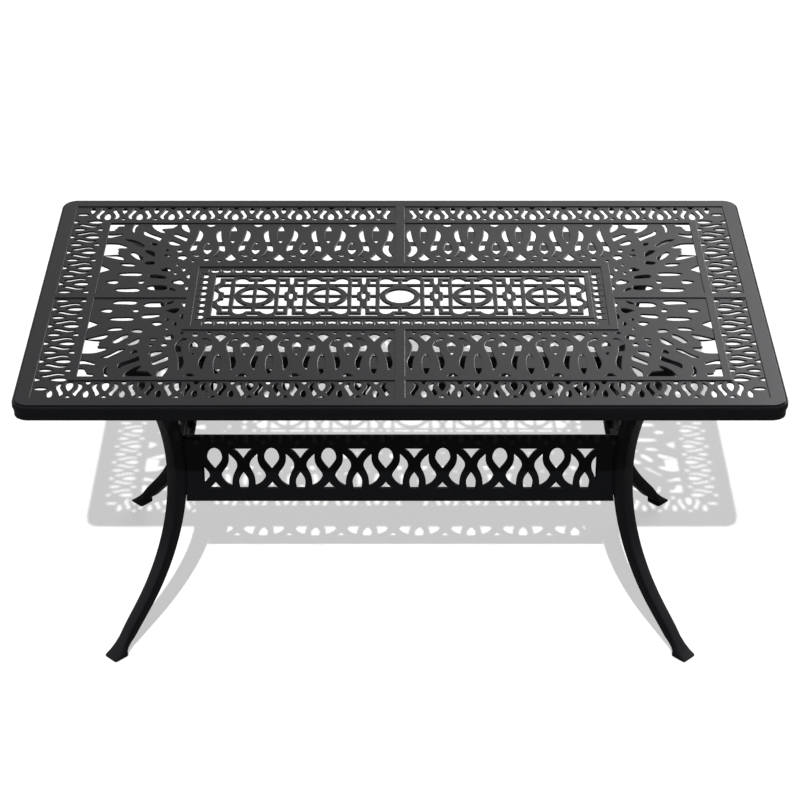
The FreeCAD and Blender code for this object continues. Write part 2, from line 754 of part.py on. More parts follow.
def make_bolt_group(name, places, length, corner):
    group = doc.addObject("Part::Compound", name)
    group.Links = [make_bolt(f"{name}_{index}", place, length) for index, place in enumerate(places)]
    group.Label = name
    group.Placement = leg_frame(*corner)
    return group


sub_parts = []
casting = make_table_top()
casting.Label = "table_top"
sub_parts.append(casting)
for corner_name, corner in CORNERS.items():
    sub_parts.append(make_leg("leg_" + corner_name, corner))
    sub_parts.append(make_glide("foot_glide_" + corner_name, corner))
    upright = [Placement(Vector(place, 0, flange_bottom), Rotation()) for place in bolt_places]
    sub_parts.append(make_bolt_group("leg_bolts_" + corner_name, upright, "Sizes.LegBoltLength", corner))
    level = [arm_frame(side) for side in (1, -1)]
    side_bolts = "stretcher_bolts_" + corner_name
    sub_parts.append(make_bolt_group(side_bolts, level, "Sizes.StretcherBoltLength", corner))
for name, half_span, centre, turn in (
    ("stretcher_front", waist.x, Vector(0, -waist.y, 0), 0),
    ("stretcher_rear", waist.x, Vector(0, waist.y, 0), 180),
    ("stretcher_left", waist.y, Vector(-waist.x, 0, 0), -90),
    ("stretcher_right", waist.y, Vector(waist.x, 0, 0), 90),
):
    sub_parts.append(make_stretcher(name, half_span, centre, turn))

doc.recompute()
faults = [item.Name for item in doc.Objects if "Invalid" in item.State or "Error" in item.State]
for item in sub_parts:
    if item.Shape.isNull() or not item.Shape.isValid():
        faults.append(item.Label)
if faults:
    raise RuntimeError("failed objects: " + ", ".join(faults))
for item in sub_parts:
    item.Shape.exportStep(f"parts/{item.Label}.step")
    print(item.Label, len(item.Shape.Solids), round(item.Shape.Volume), item.Shape.BoundBox)
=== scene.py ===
import logging
import math
from dataclasses import dataclass
from enum import Enum
from itertools import product

import bmesh
import bpy
from bmesh.types import BMesh, BMFace, BMVert
from bpy.types import Material, Node, NodeSocket, NodeTree, Object
from mathutils import Matrix, Vector


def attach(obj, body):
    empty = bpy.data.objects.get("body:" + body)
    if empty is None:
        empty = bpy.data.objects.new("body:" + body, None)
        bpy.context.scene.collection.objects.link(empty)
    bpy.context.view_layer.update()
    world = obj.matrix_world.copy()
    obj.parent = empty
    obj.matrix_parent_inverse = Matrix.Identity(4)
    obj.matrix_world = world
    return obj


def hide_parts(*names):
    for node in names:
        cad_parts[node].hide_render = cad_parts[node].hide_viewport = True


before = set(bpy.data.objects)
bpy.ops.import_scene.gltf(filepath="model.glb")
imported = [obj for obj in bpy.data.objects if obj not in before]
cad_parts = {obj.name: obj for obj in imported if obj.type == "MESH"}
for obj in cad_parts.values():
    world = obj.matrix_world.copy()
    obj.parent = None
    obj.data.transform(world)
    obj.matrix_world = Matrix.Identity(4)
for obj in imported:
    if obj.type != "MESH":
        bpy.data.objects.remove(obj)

log = logging.getLogger("umbrella_table")

Point = tuple[float, float]
Opening = tuple[list[Point], tuple[int, ...]]
Lip = tuple[Point, ...]

# Lengths are millimetres until finish_piece turns them into metres
MILLIMETRE = 0.001

# Levels of the top's layers above the floor
TOP = 708.0
BARS_BOTTOM = 702.2
LATTICE_TOP = 706.2
LATTICE_BOTTOM = 702.2
PANEL_TOP = 706.7
PANEL_BOTTOM = 702.1
BEADS_TOP = 706.1
BEADS_BOTTOM = 702.6

# Softened edges: run and drop of each of a lip's steps, from the face down
LIP = ((1.1, 0.75), (0.3, 0.8))
BAR_LIP = ((0.8, 0.55), (0.2, 0.6))
STRETCHER_LIP = ((0.6, 0.4), (0.2, 0.5))
# An opening's soft corners take this share of their sides, in percent
CORNER_SHARE = 40
CORNER_SEGMENTS = 2
FRAME_CORNER_SEGMENTS = 7
# A pointed corner moves up to twice as far as its sides do
LONGEST_MITRE = 0.5
SMOOTH_ANGLE = math.radians(28)
ON_PLANE = 1e-4
WELD = 1e-3

# The legs' waists, by their distance from the table's middle, and the legs' centre line
WAIST = (465.0, 165.0)
WAIST_LEVEL = 385.0
LEG_RADIUS = 440.0
SHIN_ANGLE = math.radians(42)
FLANGE_BOTTOM = 680.0
FLANGE_TOP = 688.0

SIDES = (1, -1)
# Round the table
QUARTERS = ((1, 1), (-1, 1), (-1, -1), (1, -1))


class Corner(Enum):
    """The four legs' places, each by its side along X and along Y."""

    FRONT_LEFT = (-1, -1)
    FRONT_RIGHT = (1, -1)
    REAR_LEFT = (-1, 1)
    REAR_RIGHT = (1, 1)

    def matrix(self) -> Matrix:
        """Place the leg.

        Returns:
            Its frame: the origin on the waist's axis, X outwards along the diagonal.
        """
        side_x, side_y = self.value
        turn = Matrix.Rotation(math.atan2(side_y, side_x), 4, "Z")
        return Matrix.Translation((side_x * WAIST[0], side_y * WAIST[1], 0)) @ turn


class Side(Enum):
    """The table's four sides, each by its place along X and Y and its stretcher's turn in degrees."""

    FRONT = (0, -1, 0)
    REAR = (0, 1, 180)
    LEFT = (-1, 0, -90)
    RIGHT = (1, 0, 90)

    def matrix(self) -> Matrix:
        """Place the stretcher.

        Returns:
            Its frame: the origin below its middle on the floor, Y inwards.
        """
        side_x, side_y, turn = self.value
        turned = Matrix.Rotation(math.radians(turn), 4, "Z")
        return Matrix.Translation((side_x * WAIST[0], side_y * WAIST[1], 0)) @ turned

    def half_span(self) -> float:
        """Return half the distance between the axes of the side's two waists."""
        return WAIST[1] if self.value[0] else WAIST[0]


def linear(code: str) -> tuple[float, float, float, float]:
    """Turn an sRGB hex colour into linear values.

    Args:
        code: colour as #rrggbb.

    Returns:
        Linear red, green, blue and an alpha of 1.
    """
    values = [int(code[i:i + 2], 16) / 255 for i in (1, 3, 5)]
    return tuple(v / 12.92 if v <= 0.04045 else ((v + 0.055) / 1.055) ** 2.4 for v in values) + (1.0,)


def add_node(tree: NodeTree, kind: str, settings: dict | None = None,
             links: dict | None = None) -> Node:
    """Add a node with its settings and links.

    Args:
        tree: node tree that takes it.
        kind: node type.
        settings: attribute names, or input names or numbers, to values.
        links: input names or numbers to the output sockets that feed them.

    Returns:
        The new node.
    """
    node = tree.nodes.new(kind)
    for name, value in (settings or {}).items():
        if isinstance(name, str) and hasattr(node, name):
            setattr(node, name, value)
        else:
            node.inputs[name].default_value = value
    for name, socket in (links or {}).items():
        tree.links.new(socket, node.inputs[name])
    return node


def noise(tree: NodeTree, place: NodeSocket, size: float, detail: float) -> NodeSocket:
    """Return a noise whose lumps have a size in millimetres, with finer layers of detail."""
    return add_node(tree, "ShaderNodeTexNoise", {"Scale": 1 / (size * MILLIMETRE), "Detail": detail},
                    {"Vector": place}).outputs["Fac"]


def blend(tree: NodeTree, one: NodeSocket, two: NodeSocket, share: float) -> NodeSocket:
    """Return two values mixed, the second by its share."""
    part = add_node(tree, "ShaderNodeMath", {"operation": "MULTIPLY", 1: 1 - share}, {0: one})
    return add_node(tree, "ShaderNodeMath", {"operation": "MULTIPLY_ADD", 1: share},
                    {0: two, 2: part.outputs[0]}).outputs[0]


@dataclass(frozen=True)
class Finish:
    """A finish's looks and the record's slot that it belongs to.

    The two colours are the darkest and the lightest of its surface. The grain, the patches, the relief and
    the spangle are sizes in millimetres, and the sheen is the tint of its reflections.
    """

    name: str
    slot: str
    dark: str
    light: str
    roughness: Point
    grain: float
    patches: float
    relief: float
    metallic: float = 0.0
    specular: float = 0.5
    spangle: float = 0.0
    sheen: str = "#ffffff"
    grain_in_colour: float = 0.35
    spangle_in_colour: float = 0.5
    patches_in_roughness: float = 0.4
    pits_in_relief: float = 0.4
    pits_to_grain: float = 5.0
    bump: float = 0.6

    def material(self) -> Material:
        """Return the finish's material, made at its first use."""
        return bpy.data.materials.get(self.name) or self.make_material()

    def make_material(self) -> Material:
        """Build the material from layered noises.

        Returns:
            The new material.
        """
        made = bpy.data.materials.new(self.name)
        made.use_nodes = True
        tree = made.node_tree
        place = add_node(tree, "ShaderNodeTexCoord").outputs["Object"]
        cloud = noise(tree, place, self.patches, detail=3.0)
        grain = noise(tree, place, self.grain, detail=2.0)
        pits = noise(tree, place, self.grain * self.pits_to_grain, detail=1.0)
        shade = blend(tree, cloud, grain, self.grain_in_colour)
        if self.spangle:
            cells = add_node(tree, "ShaderNodeTexVoronoi", {"Scale": 1 / (self.spangle * MILLIMETRE)},
                             {"Vector": place})
            tone = add_node(tree, "ShaderNodeRGBToBW", None, {"Color": cells.outputs["Color"]})
            shade = blend(tree, shade, tone.outputs["Val"], self.spangle_in_colour)
        colour = add_node(tree, "ShaderNodeMixRGB",
                          {"Color1": linear(self.dark), "Color2": linear(self.light)}, {"Fac": shade})
        # A noise stays mostly between these two values
        least, most = 0.3, 0.7
        rough = add_node(tree, "ShaderNodeMapRange",
                         {"From Min": least, "From Max": most,
                          "To Min": self.roughness[0], "To Max": self.roughness[1]},
                         {"Value": blend(tree, grain, cloud, self.patches_in_roughness)})
        bump = add_node(tree, "ShaderNodeBump", {"Strength": self.bump, "Distance": self.relief * MILLIMETRE},
                        {"Height": blend(tree, grain, pits, self.pits_in_relief)})
        shader = tree.nodes["Principled BSDF"]
        shader.inputs["Metallic"].default_value = self.metallic
        shader.inputs["Specular IOR Level"].default_value = self.specular
        shader.inputs["Specular Tint"].default_value = linear(self.sheen)
        tree.links.new(colour.outputs["Color"], shader.inputs["Base Color"])
        tree.links.new(rough.outputs["Result"], shader.inputs["Roughness"])
        tree.links.new(bump.outputs["Normal"], shader.inputs["Normal"])
        return made


# Satin black powder coat: its fine orange peel breaks up the sheen. The real grain is about 0.3 mm and is
# drawn at 1.6 mm, because it would vanish in the picture
COATING = Finish("powder_coated_cast_aluminium", "coated_casting", "#0a0b0c", "#131416", (0.31, 0.43),
                 1.6, 60, 0.05, specular=0.155, sheen="#f6f3ff")
# Bright zinc plating: small crystals give the bolts a faint spangle
STEEL = Finish("zinc_plated_steel", "steel_bolt", "#85888c", "#b4b7ba", (0.24, 0.42), 0.8, 9, 0.02,
               metallic=1.0, spangle=2.2)
# Moulded nylon: matt with a fine eroded mould texture
NYLON = Finish("moulded_nylon", "nylon_glide", "#101010", "#1c1c1d", (0.48, 0.66), 0.7, 12, 0.03,
               specular=0.3)
# Words in the names of the nodes that have no coat
SMALL_PARTS = {"bolts": STEEL, "glide": NYLON}


def rectangle(half_x: float, half_y: float) -> list[Point]:
    """Return a centred rectangle's corners."""
    return [(-half_x, -half_y), (half_x, -half_y), (half_x, half_y), (-half_x, half_y)]


def circle(radius: float, corners: int) -> list[Point]:
    """Return a centred regular polygon's corners."""
    turns = [math.radians(360 * step / corners) for step in range(corners)]
    return [(radius * math.cos(turn), radius * math.sin(turn)) for turn in turns]


def moved(opening: Opening, place: float, side: int = 1) -> Opening:
    """Return an opening moved along X, and mirrored first where the side is -1."""
    spots, sharp = opening
    return [(place + side * x, y) for x, y in spots], sharp


def make_face(bm: BMesh, points: list[Point], level: float = 0.0) -> BMFace:
    """Make one level face from an outline's few corners."""
    return bm.faces.new([bm.verts.new((x, y, level)) for x, y in points])


def verts_of(geometry: list) -> list[BMVert]:
    """Return the vertices among an operator's results."""
    return [item for item in geometry if isinstance(item, BMVert)]


def faces_of(geometry: list) -> list[BMFace]:
    """Return the faces among an operator's results."""
    return [item for item in geometry if isinstance(item, BMFace)]


def round_off(bm: BMesh, face: BMFace, size: float, segments: int, sharp: tuple[int, ...] = (),
              unit: str = "OFFSET") -> BMFace:
    """Round a flat face's corners.

    Args:
        bm: its mesh.
        face: the face.
        size: size of each round.
        segments: sides of each round.
        sharp: numbers of the corners that stay pointed.
        unit: OFFSET for a size in millimetres, PERCENT for a share of the corner's sides.

    Returns:
        The face with its new corners.
    """
    corners = [vert for number, vert in enumerate(face.verts) if number not in sharp]
    if not corners:
        return face
    made = bmesh.ops.bevel(bm, geom=corners, offset=size, offset_type=unit, segments=segments,
                           profile=0.5, affect="VERTICES", material=-1)["verts"]
    return made[0].link_faces[0]


def grow(face: BMFace, distance: float) -> None:
    """Push a flat face's outline outwards.

    Args:
        face: face that looks up.
        distance: how far each side moves.
    """
    spots = [vert.co.copy() for vert in face.verts]
    for before, here, after, vert in zip(spots[-1:] + spots, spots, spots[1:] + spots[:1], face.verts):
        sides = [Vector((way.y, -way.x, 0)).normalized() for way in (here - before, after - here)]
        out = (sides[0] + sides[1]).normalized()
        vert.co = here + out * (distance / max(out.dot(sides[0]), LONGEST_MITRE))


def loft(bm: BMesh, faces: list[BMFace], closed: bool = False) -> None:
    """Skin a row of like faces.

    Args:
        bm: mesh that holds them.
        faces: the sections in order.
        closed: whether the last joins the first. An open row keeps its two ends as caps.
    """
    rows = list(zip(faces, faces[1:])) + ([(faces[-1], faces[0])] if closed else [])
    for one, two in rows:
        bmesh.ops.bridge_loops(bm, edges=[*one.edges, *two.edges])
    bmesh.ops.delete(bm, geom=faces if closed else faces[1:-1], context="FACES_ONLY")


def mirrored_copy(bm: BMesh, axis: int) -> list[BMFace]:
    """Add a mirrored copy of all that a mesh holds.

    Args:
        bm: the mesh.
        axis: 0 to mirror over the plane x = 0, 1 over y = 0.

    Returns:
        The copy's faces, which look the wrong way.
    """
    copy = bmesh.ops.duplicate(bm, geom=[*bm.verts, *bm.edges, *bm.faces])["geom"]
    factor = Vector((1, 1, 1))
    factor[axis] = -1
    bmesh.ops.scale(bm, verts=verts_of(copy), vec=factor)
    return faces_of(copy)


def mirror_over(bm: BMesh, axis: int) -> None:
    """Mirror a closed mesh over a plane through the origin and weld the two halves.

    Args:
        bm: mesh of one half, with a wall on the plane.
        axis: 0 for the plane x = 0, 1 for y = 0.
    """
    seam = [face for face in bm.faces if all(abs(vert.co[axis]) < ON_PLANE for vert in face.verts)]
    bmesh.ops.delete(bm, geom=seam, context="FACES")
    bmesh.ops.reverse_faces(bm, faces=mirrored_copy(bm, axis))
    welded = [vert for vert in bm.verts if abs(vert.co[axis]) < ON_PLANE]
    bmesh.ops.remove_doubles(bm, verts=welded, dist=WELD)


def slab(bm: BMesh, half_size: Point, cut: float, bottom: float, top: float) -> list[BMVert]:
    """Add a block with cut corners and softened edges under a leg's flange, in the leg's frame.

    Args:
        bm: mesh that takes it.
        half_size: half its length and half its width.
        cut: size of its cut corners.
        bottom: level of its underside.
        top: level of its upper face.

    Returns:
        Its vertices.
    """
    edge_round = 0.8
    before = set(bm.verts)
    cube = bmesh.ops.create_cube(bm, size=1.0)["verts"]
    bmesh.ops.scale(bm, verts=cube, vec=(2 * half_size[0], 2 * half_size[1], top - bottom))
    bmesh.ops.translate(bm, verts=cube, vec=(bow(FLANGE_BOTTOM), 0, (bottom + top) / 2))
    edges = {edge for vert in cube for edge in vert.link_edges}
    upright = [edge for edge in edges if abs(edge.verts[0].co.z - edge.verts[1].co.z) > (top - bottom) / 2]
    bmesh.ops.bevel(bm, geom=upright, offset=cut, segments=1, profile=0.5, affect="EDGES", material=-1)
    edges = {edge for vert in bm.verts if vert not in before for edge in vert.link_edges}
    bmesh.ops.bevel(bm, geom=list(edges), offset=edge_round, segments=2, profile=0.5,
                    affect="EDGES", material=-1)
    return [vert for vert in bm.verts if vert not in before]


class PiercedPlate:
    """Flat casting with openings whose edges are softened by a small lip."""

    def __init__(self, outline: list[Point], bottom: float, top: float, lip: Lip = LIP,
                 corner: float = 0.0) -> None:
        """Start from the outline.

        Args:
            outline: corners of the plate.
            bottom: level of its underside.
            top: level of its upper face.
            lip: run and drop of each of its lips' steps.
            corner: radius of the outline's corners.
        """
        self.bm = bmesh.new()
        self.bottom = bottom
        self.top = top
        self.lip = lip
        self.holes: list[BMFace] = []
        self.body = make_face(self.bm, outline, top - sum(drop for _, drop in lip))
        if corner:
            self.body = round_off(self.bm, self.body, corner, FRAME_CORNER_SEGMENTS)

    def open(self, points: list[Point], sharp: tuple[int, ...]) -> None:
        """Mark one opening.

        Args:
            points: few control corners of its bore.
            sharp: numbers of the corners that stay pointed.
        """
        hole = round_off(self.bm, make_face(self.bm, points, self.top), CORNER_SHARE, CORNER_SEGMENTS,
                         sharp, "PERCENT")
        hole.normal_update()
        if hole.normal.z < 0:
            hole.normal_flip()
        grow(hole, sum(run for run, _ in self.lip))
        self.holes.append(hole)

    def cut(self, points: list[Point]) -> None:
        """Mark an opening whose corners all stay pointed."""
        self.open(points, tuple(range(len(points))))

    def open_all(self, openings: list[Opening]) -> None:
        """Mark a list of openings."""
        for points, sharp in openings:
            self.open(points, sharp)

    def build(self) -> BMesh:
        """Fill the plate between its edges, drop its walls and close its underside.

        Returns:
            The closed plate.
        """
        bm = self.bm
        wall = list(self.body.edges)
        for run, drop in reversed(self.lip):
            bmesh.ops.inset_individual(bm, faces=[self.body], thickness=run, depth=drop,
                                       use_even_offset=True)
        outer_rim = list(self.body.edges)
        rims = [list(hole.edges) for hole in self.holes]
        bmesh.ops.delete(bm, geom=[self.body], context="FACES_ONLY")
        edges = outer_rim + [edge for rim in rims for edge in rim]
        filled = bmesh.ops.triangle_fill(bm, use_beauty=True, edges=edges, normal=(0, 0, 1))["geom"]
        upper = {item for face in faces_of(filled) for item in (face, *face.verts, *face.edges)}
        under = bmesh.ops.duplicate(bm, geom=list(upper))
        twin = under["edge_map"]
        bmesh.ops.translate(bm, verts=verts_of(under["geom"]), vec=(0, 0, self.bottom - self.top))
        bmesh.ops.reverse_faces(bm, faces=faces_of(under["geom"]))
        bmesh.ops.bridge_loops(bm, edges=wall + [twin[edge] for edge in outer_rim])
        if self.holes:
            for run, drop in self.lip:
                bmesh.ops.inset_individual(bm, faces=self.holes, thickness=run, depth=-drop,
                                           use_even_offset=True)
        for hole, rim in zip(self.holes, rims):
            bmesh.ops.bridge_loops(bm, edges=[*hole.edges] + [twin[edge] for edge in rim])
        bmesh.ops.delete(bm, geom=self.holes, context="FACES_ONLY")
        return bm


def finish_piece(name: str, bm: BMesh, finish: Finish, node: str) -> None:
    """Turn a mesh in millimetres into a finished piece of the table.

    Args:
        name: the piece's name.
        bm: its mesh, in the table's frame.
        finish: its finish.
        node: node that it stands for.
    """
    bmesh.ops.recalc_face_normals(bm, faces=bm.faces)
    bmesh.ops.scale(bm, verts=bm.verts, vec=(MILLIMETRE,) * 3)
    for face in bm.faces:
        face.smooth = True
    for edge in bm.edges:
        edge.smooth = len(edge.link_faces) == 2 and edge.calc_face_angle(0) < SMOOTH_ANGLE
    mesh = bpy.data.meshes.new(name)
    bm.to_mesh(mesh)
    bm.free()
    mesh.materials.append(finish.material())
    piece = bpy.data.objects.new(name, mesh)
    bpy.context.scene.collection.objects.link(piece)
    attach(piece, "root")
    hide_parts(node)
    log.info("%s: %d faces", name, len(mesh.polygons))


def bow(level: float) -> float:
    """Return how far the leg's centre line stands out from the waist.

    Args:
        level: height above the floor.

    Returns:
        The distance along the diagonal: an arc round the waist, then a straight shin.
    """
    drop = WAIST_LEVEL - level
    shin = drop - LEG_RADIUS * math.sin(SHIN_ANGLE)
    if shin > 0:
        return LEG_RADIUS * (1 - math.cos(SHIN_ANGLE)) + shin * math.tan(SHIN_ANGLE)
    return LEG_RADIUS - math.sqrt(LEG_RADIUS ** 2 - drop ** 2)


# The top's openings, each by a few control corners and the numbers of the corners that stay sharp.
# The border's are given along the row from a lens's axis and across it from the inner bar
BORDER_LENS = (((-4, 5), (4, 5), (6.8, 13), (6.4, 24), (3, 34), (0, 38), (-3, 34), (-6.4, 24),
                (-6.8, 13)), (5,))
BORDER_OUTER_LENS = (((0, 35), (4, 42), (5.2, 50), (4.2, 59), (2, 62.5), (-2, 62.5), (-4.2, 59),
                      (-5.2, 50), (-4, 42)), (0,))
BORDER_CORNER_LENS = (((0, 37.5), *BORDER_OUTER_LENS[0][1:]), (0,))
BORDER_SLOT = (((16, 9), (22, 12), (25.5, 22), (23.5, 32), (18.5, 43), (17, 50), (15, 57),
                (12, 54), (9, 48), (13, 38), (17.5, 28), (18.5, 21), (17, 14)), (0, 6))
BORDER_OUTER_TRIANGLE = (((-6, 66), (-4, 60), (0, 55), (4, 60), (6, 66)), (0, 2, 4))
BORDER_INNER_TRIANGLE = (((-5, 0), (5, 0), (4, 10), (0, 13), (-4, 10)), (0, 1, 3))
# What stands in one cell of the border: place in pitches, side and opening
BORDER_CELL = ((0, 1, BORDER_LENS), (0, 1, BORDER_OUTER_TRIANGLE), (0.5, 1, BORDER_OUTER_LENS),
               (0.5, 1, BORDER_INNER_TRIANGLE), (0, 1, BORDER_SLOT), (1, -1, BORDER_SLOT))
LONG_CORNER_CELL = ((0.5, 1, BORDER_OUTER_LENS), (1, -1, BORDER_SLOT))
END_CORNER_CELL = ((0.5, 1, BORDER_CORNER_LENS),)
BORDER_START = (714.0, 414.0)
BORDER_WIDTH = 66.0
LONG_PITCH = 70.25
LONG_CELLS = 11
END_PITCH = 71.8
END_CELLS = 6
RIB_CLEARANCE = 7.2

# The long fields' openings: along the row from an axis, across it from the table's middle
WAVE_PITCH = 103.3
WAVE_HALF_PITCHES = 9
WAVE_END = 452.0
WAVE_KITE = (((-3.5, 160), (3.5, 160), (11, 168), (11, 171.5), (5, 181), (0, 191), (-5, 181), (-11, 171.5),
              (-11, 168)), (5,))
WAVE_LEAF = (((0, 241), (4.5, 251), (7, 264), (7.3, 282), (6.3, 300), (4, 313), (0, 323), (-4, 313),
              (-6.3, 300), (-7.3, 282), (-7, 264), (-4.5, 251)), (0, 6))
WAVE_BUD = (((-3, 159), (3, 159), (6, 165), (3, 170.5), (-3, 170.5), (-6, 165)), ())
WAVE_ALMOND = (((0, 190), (5.5, 197), (8.3, 207), (8, 218), (5.5, 232), (2.5, 240), (0, 245), (-2.5, 240),
                (-5.5, 232), (-8, 218), (-8.3, 207), (-5.5, 197)), (0, 6))
WAVE_SIDE_BUD = (((23.5, 157), (26, 153.5), (30, 153.5), (32.5, 157), (30, 160.5), (26, 160.5)), ())
WAVE_TOOTH = (((-12, 336), (-9, 327), (-3, 319.5), (3, 319.5), (9, 327), (12, 336)), (0, 5))
WAVE_SLOT = (((15.5, 181), (22.5, 177), (28, 184), (33.5, 193), (36.8, 205), (36.8, 216), (34.5, 228),
              (31, 240), (27.5, 254), (25.5, 270), (24, 285), (23, 305), (17.5, 295), (14.8, 283),
              (15.2, 270), (18, 256), (21.5, 244), (24, 228), (25.3, 213), (24, 202), (20, 190)), (0, 11))
WAVE_MIDDLE = ((1, WAVE_SLOT), (1, WAVE_SIDE_BUD))
WAVE_WHOLE = ((1, WAVE_BUD), (1, WAVE_ALMOND), (1, WAVE_TOOTH), (1, WAVE_SLOT), (-1, WAVE_SLOT),
              (1, WAVE_SIDE_BUD), (-1, WAVE_SIDE_BUD))
WAVE_HALF = ((1, WAVE_KITE), (1, WAVE_LEAF))

# Webs that close the middle of some of these openings, a little below the lattice's face
SLOT_WEB = (((17, 231), (37, 231), (32, 250), (17, 250)), ())
CURL_WEB = (((14, 184), (25, 183), (38, 198), (38.5, 202), (24, 211), (20, 204)), ())
ALMOND_WEB = (((-12, 213), (0, 208.5), (12, 213), (8, 236), (-8, 236)), ())
LEAF_WEB = (((-11, 252), (11, 252), (11, 298), (-11, 298)), ())
WEBS_MIDDLE = ((1, SLOT_WEB),)
WEBS_WHOLE = ((1, ALMOND_WEB), (1, SLOT_WEB), (-1, SLOT_WEB), (1, CURL_WEB), (-1, CURL_WEB))
WEBS_HALF = ((1, LEAF_WEB),)
WEB_DEPTH = 2.0
WEB_THICKNESS = 1.6

# The fans at the ends, drawn for one quarter, away from the table's two middle planes
FAN_OPENINGS = (
    # Slits between the leaves beside the end's rib
    (((594, 30), (588, 21), (568, 19), (546, 20), (542, 27), (549, 37), (568, 34), (588, 34)), (0,)),
    (((529, 39), (523, 29), (510, 27), (488, 27), (486, 40), (490, 46), (510, 47), (524, 45)), (0,)),
    (((483, 30), (467, 21), (469, 28), (475, 34), (481, 36)), (1,)),
    (((616, 64), (609, 56), (596, 54), (591, 59), (592, 68), (598, 71), (610, 67)), (0,)),
    (((549, 62), (546, 56), (540, 56), (537, 63), (538, 68), (546, 68)), ()),
    (((480, 63), (470, 55), (456, 52), (452, 58), (461, 75), (470, 70)), (0,)),
    (((595, 99), (588, 92), (568, 91), (549, 90), (543, 96), (546, 104), (568, 105), (585, 103)), (0,)),
    (((529, 88), (525, 80), (510, 79), (493, 77), (490, 84), (500, 90), (510, 93), (524, 95)), ()),
    (((478, 100), (474, 95), (471, 100), (474, 107)), ()),
    # Gaps where the leaves turn outwards
    (((636, 104), (615, 117), (614, 121), (636, 139)), (0, 3)),
    (((508, 117), (500, 110), (487, 111), (484, 118), (492, 125), (497, 126), (501, 120)), ()),
    (((595, 145), (588, 137), (578, 134), (564, 134), (562, 140), (567, 145), (585, 147)), (0,)),
    (((545, 150), (539, 141), (525, 141), (521, 148), (523, 156), (535, 154)), ()),
    (((577, 194), (574, 185), (560, 166), (550, 162), (548, 173), (554, 179), (569, 198), (575, 197)), (3,)),
    (((548, 204), (540, 192), (525, 177), (524, 195), (536, 206), (545, 206)), (2,)),
    (((505, 183), (500, 179), (490, 179), (491, 185), (500, 186)), ()),
    (((505, 206), (500, 202), (495, 207), (500, 211)), ()),
    (((474, 182), (473, 169), (466, 167), (462, 162), (459, 167), (455, 172), (456, 178), (462, 184)),
     (1, 3)),
    (((479, 209), (477, 201), (474, 197), (467, 201), (468, 211)), ()),
    # Round the lobed leaf at the end bar
    (((636, 182), (620, 175), (600, 165), (589, 162), (591, 173), (599, 182), (622, 184), (601, 188),
      (606, 197), (603, 205), (607, 212), (604, 218), (594, 217), (586, 218), (588, 225), (601, 234),
      (612, 239), (636, 239)), (0, 3, 6, 7, 9, 13, 17)),
    (((594, 256), (582, 247), (572, 237), (561, 223), (550, 221), (550, 229), (562, 243), (575, 254),
      (588, 258)), (0,)),
    (((536, 238), (532, 229), (528, 226), (523, 233), (524, 237), (534, 242)), ()),
    # Curved slits towards the corner
    (((500, 243), (494, 233), (480, 230), (474, 231), (475, 238), (485, 246), (496, 254)), ()),
    (((492, 279), (487, 272), (475, 262), (463, 250), (460, 261), (461, 267), (475, 276), (488, 286)), (3,)),
    (((557, 296), (557, 284), (550, 276), (535, 266), (520, 252), (516, 266), (522, 271), (539, 282),
      (552, 294), (555, 300)), (4,)),
    (((636, 282), (636, 268), (629, 266), (615, 273), (602, 280), (604, 285), (622, 280)), (0, 1, 5)),
    # Round the lobed leaves at the long bar and in the corner
    (((636, 300), (628, 299), (620, 303), (622, 308), (617, 311), (618, 319), (609, 322), (602, 321),
      (604, 332), (608, 337), (636, 337)), (0, 9, 10)),
    (((579, 290), (578, 297), (579, 307), (577, 319), (574, 324), (569, 337), (579, 337), (580, 327),
      (583, 312), (583, 301)), (0, 5, 6)),
    (((543, 337), (542, 325), (535, 308), (520, 292), (512, 290), (513, 298), (522, 308), (507, 311),
      (496, 313), (489, 323), (485, 330), (485, 337)), (0, 4, 8, 11)),
    (((477, 337), (477, 319), (474, 308), (464, 296), (458, 292), (459, 307), (466, 327), (468, 337)),
     (0, 4, 7)),
    # Small gaps beside the panel's frame
    (((449, 34), (445, 26), (442, 37), (443, 46), (447, 42)), ()),
    (((450, 88), (445, 78), (441, 81), (441, 92), (444, 101)), ()),
    (((462, 119), (457, 109), (454, 119), (456, 128)), ()),
    (((475, 137), (473, 134), (471, 139), (473, 144)), ()),
)

# The bead strip's hearts and slits: along the row from an axis, across it outwards from the inner bar
BEAD_HEART = (((-4, 5), (4, 5), (7.5, 8.5), (7.7, 13), (5.4, 16.5), (2.8, 15.5), (0, 13.3), (-2.8, 15.5),
               (-5.4, 16.5), (-7.7, 13), (-7.5, 8.5)), (6,))
BEAD_SLIT = (((-0.15, 8), (0.15, 8), (0.15, 22), (-0.15, 22)), (0, 1, 2, 3))
BEAD_PITCH = 25.2
LONG_BEADS = 16
LONG_BEADS_START = 100.5
END_BEADS = 4
END_BEADS_START = 398.0

# The middle panel's openings, across it from its middle: beside a ringed box, beside a cross, at an end
RING_QUARTER = (((4.3, 4.8), (27.8, 4.8), (26, 13), (21.5, 21.5), (13.5, 28), (4.3, 30.5)), (0, 1, 5))
RING_CORNER = (((42, 7), (42, 43.2), (14.5, 43.2), (18, 39), (28, 32.5), (36.5, 21.5), (40.5, 12)),
               (0, 1, 2))
HALF_MOON = (((42, 52.4), (4.3, 52.4), (4.3, 66.4), (15, 66.4), (20, 73.5), (26, 77.8), (34, 77.8),
              (42, 70)), (0, 1, 2, 3))
SHORT_GAP = (((-11, 78), (11, 78), (11, 88.5), (-11, 88.5)), (0, 1, 2, 3))
CROSS_SIDE = (((24.5, 4.8), (14, 4.8), (14, 15.2), (10, 17), (7.8, 22), (7.8, 43.2), (24.5, 43.2)),
              (0, 1, 2, 5, 6))
SMALL_SLOT = (((24.5, 52.4), (13.5, 52.4), (13.5, 66.4), (24.5, 66.4)), (0, 1, 2, 3))
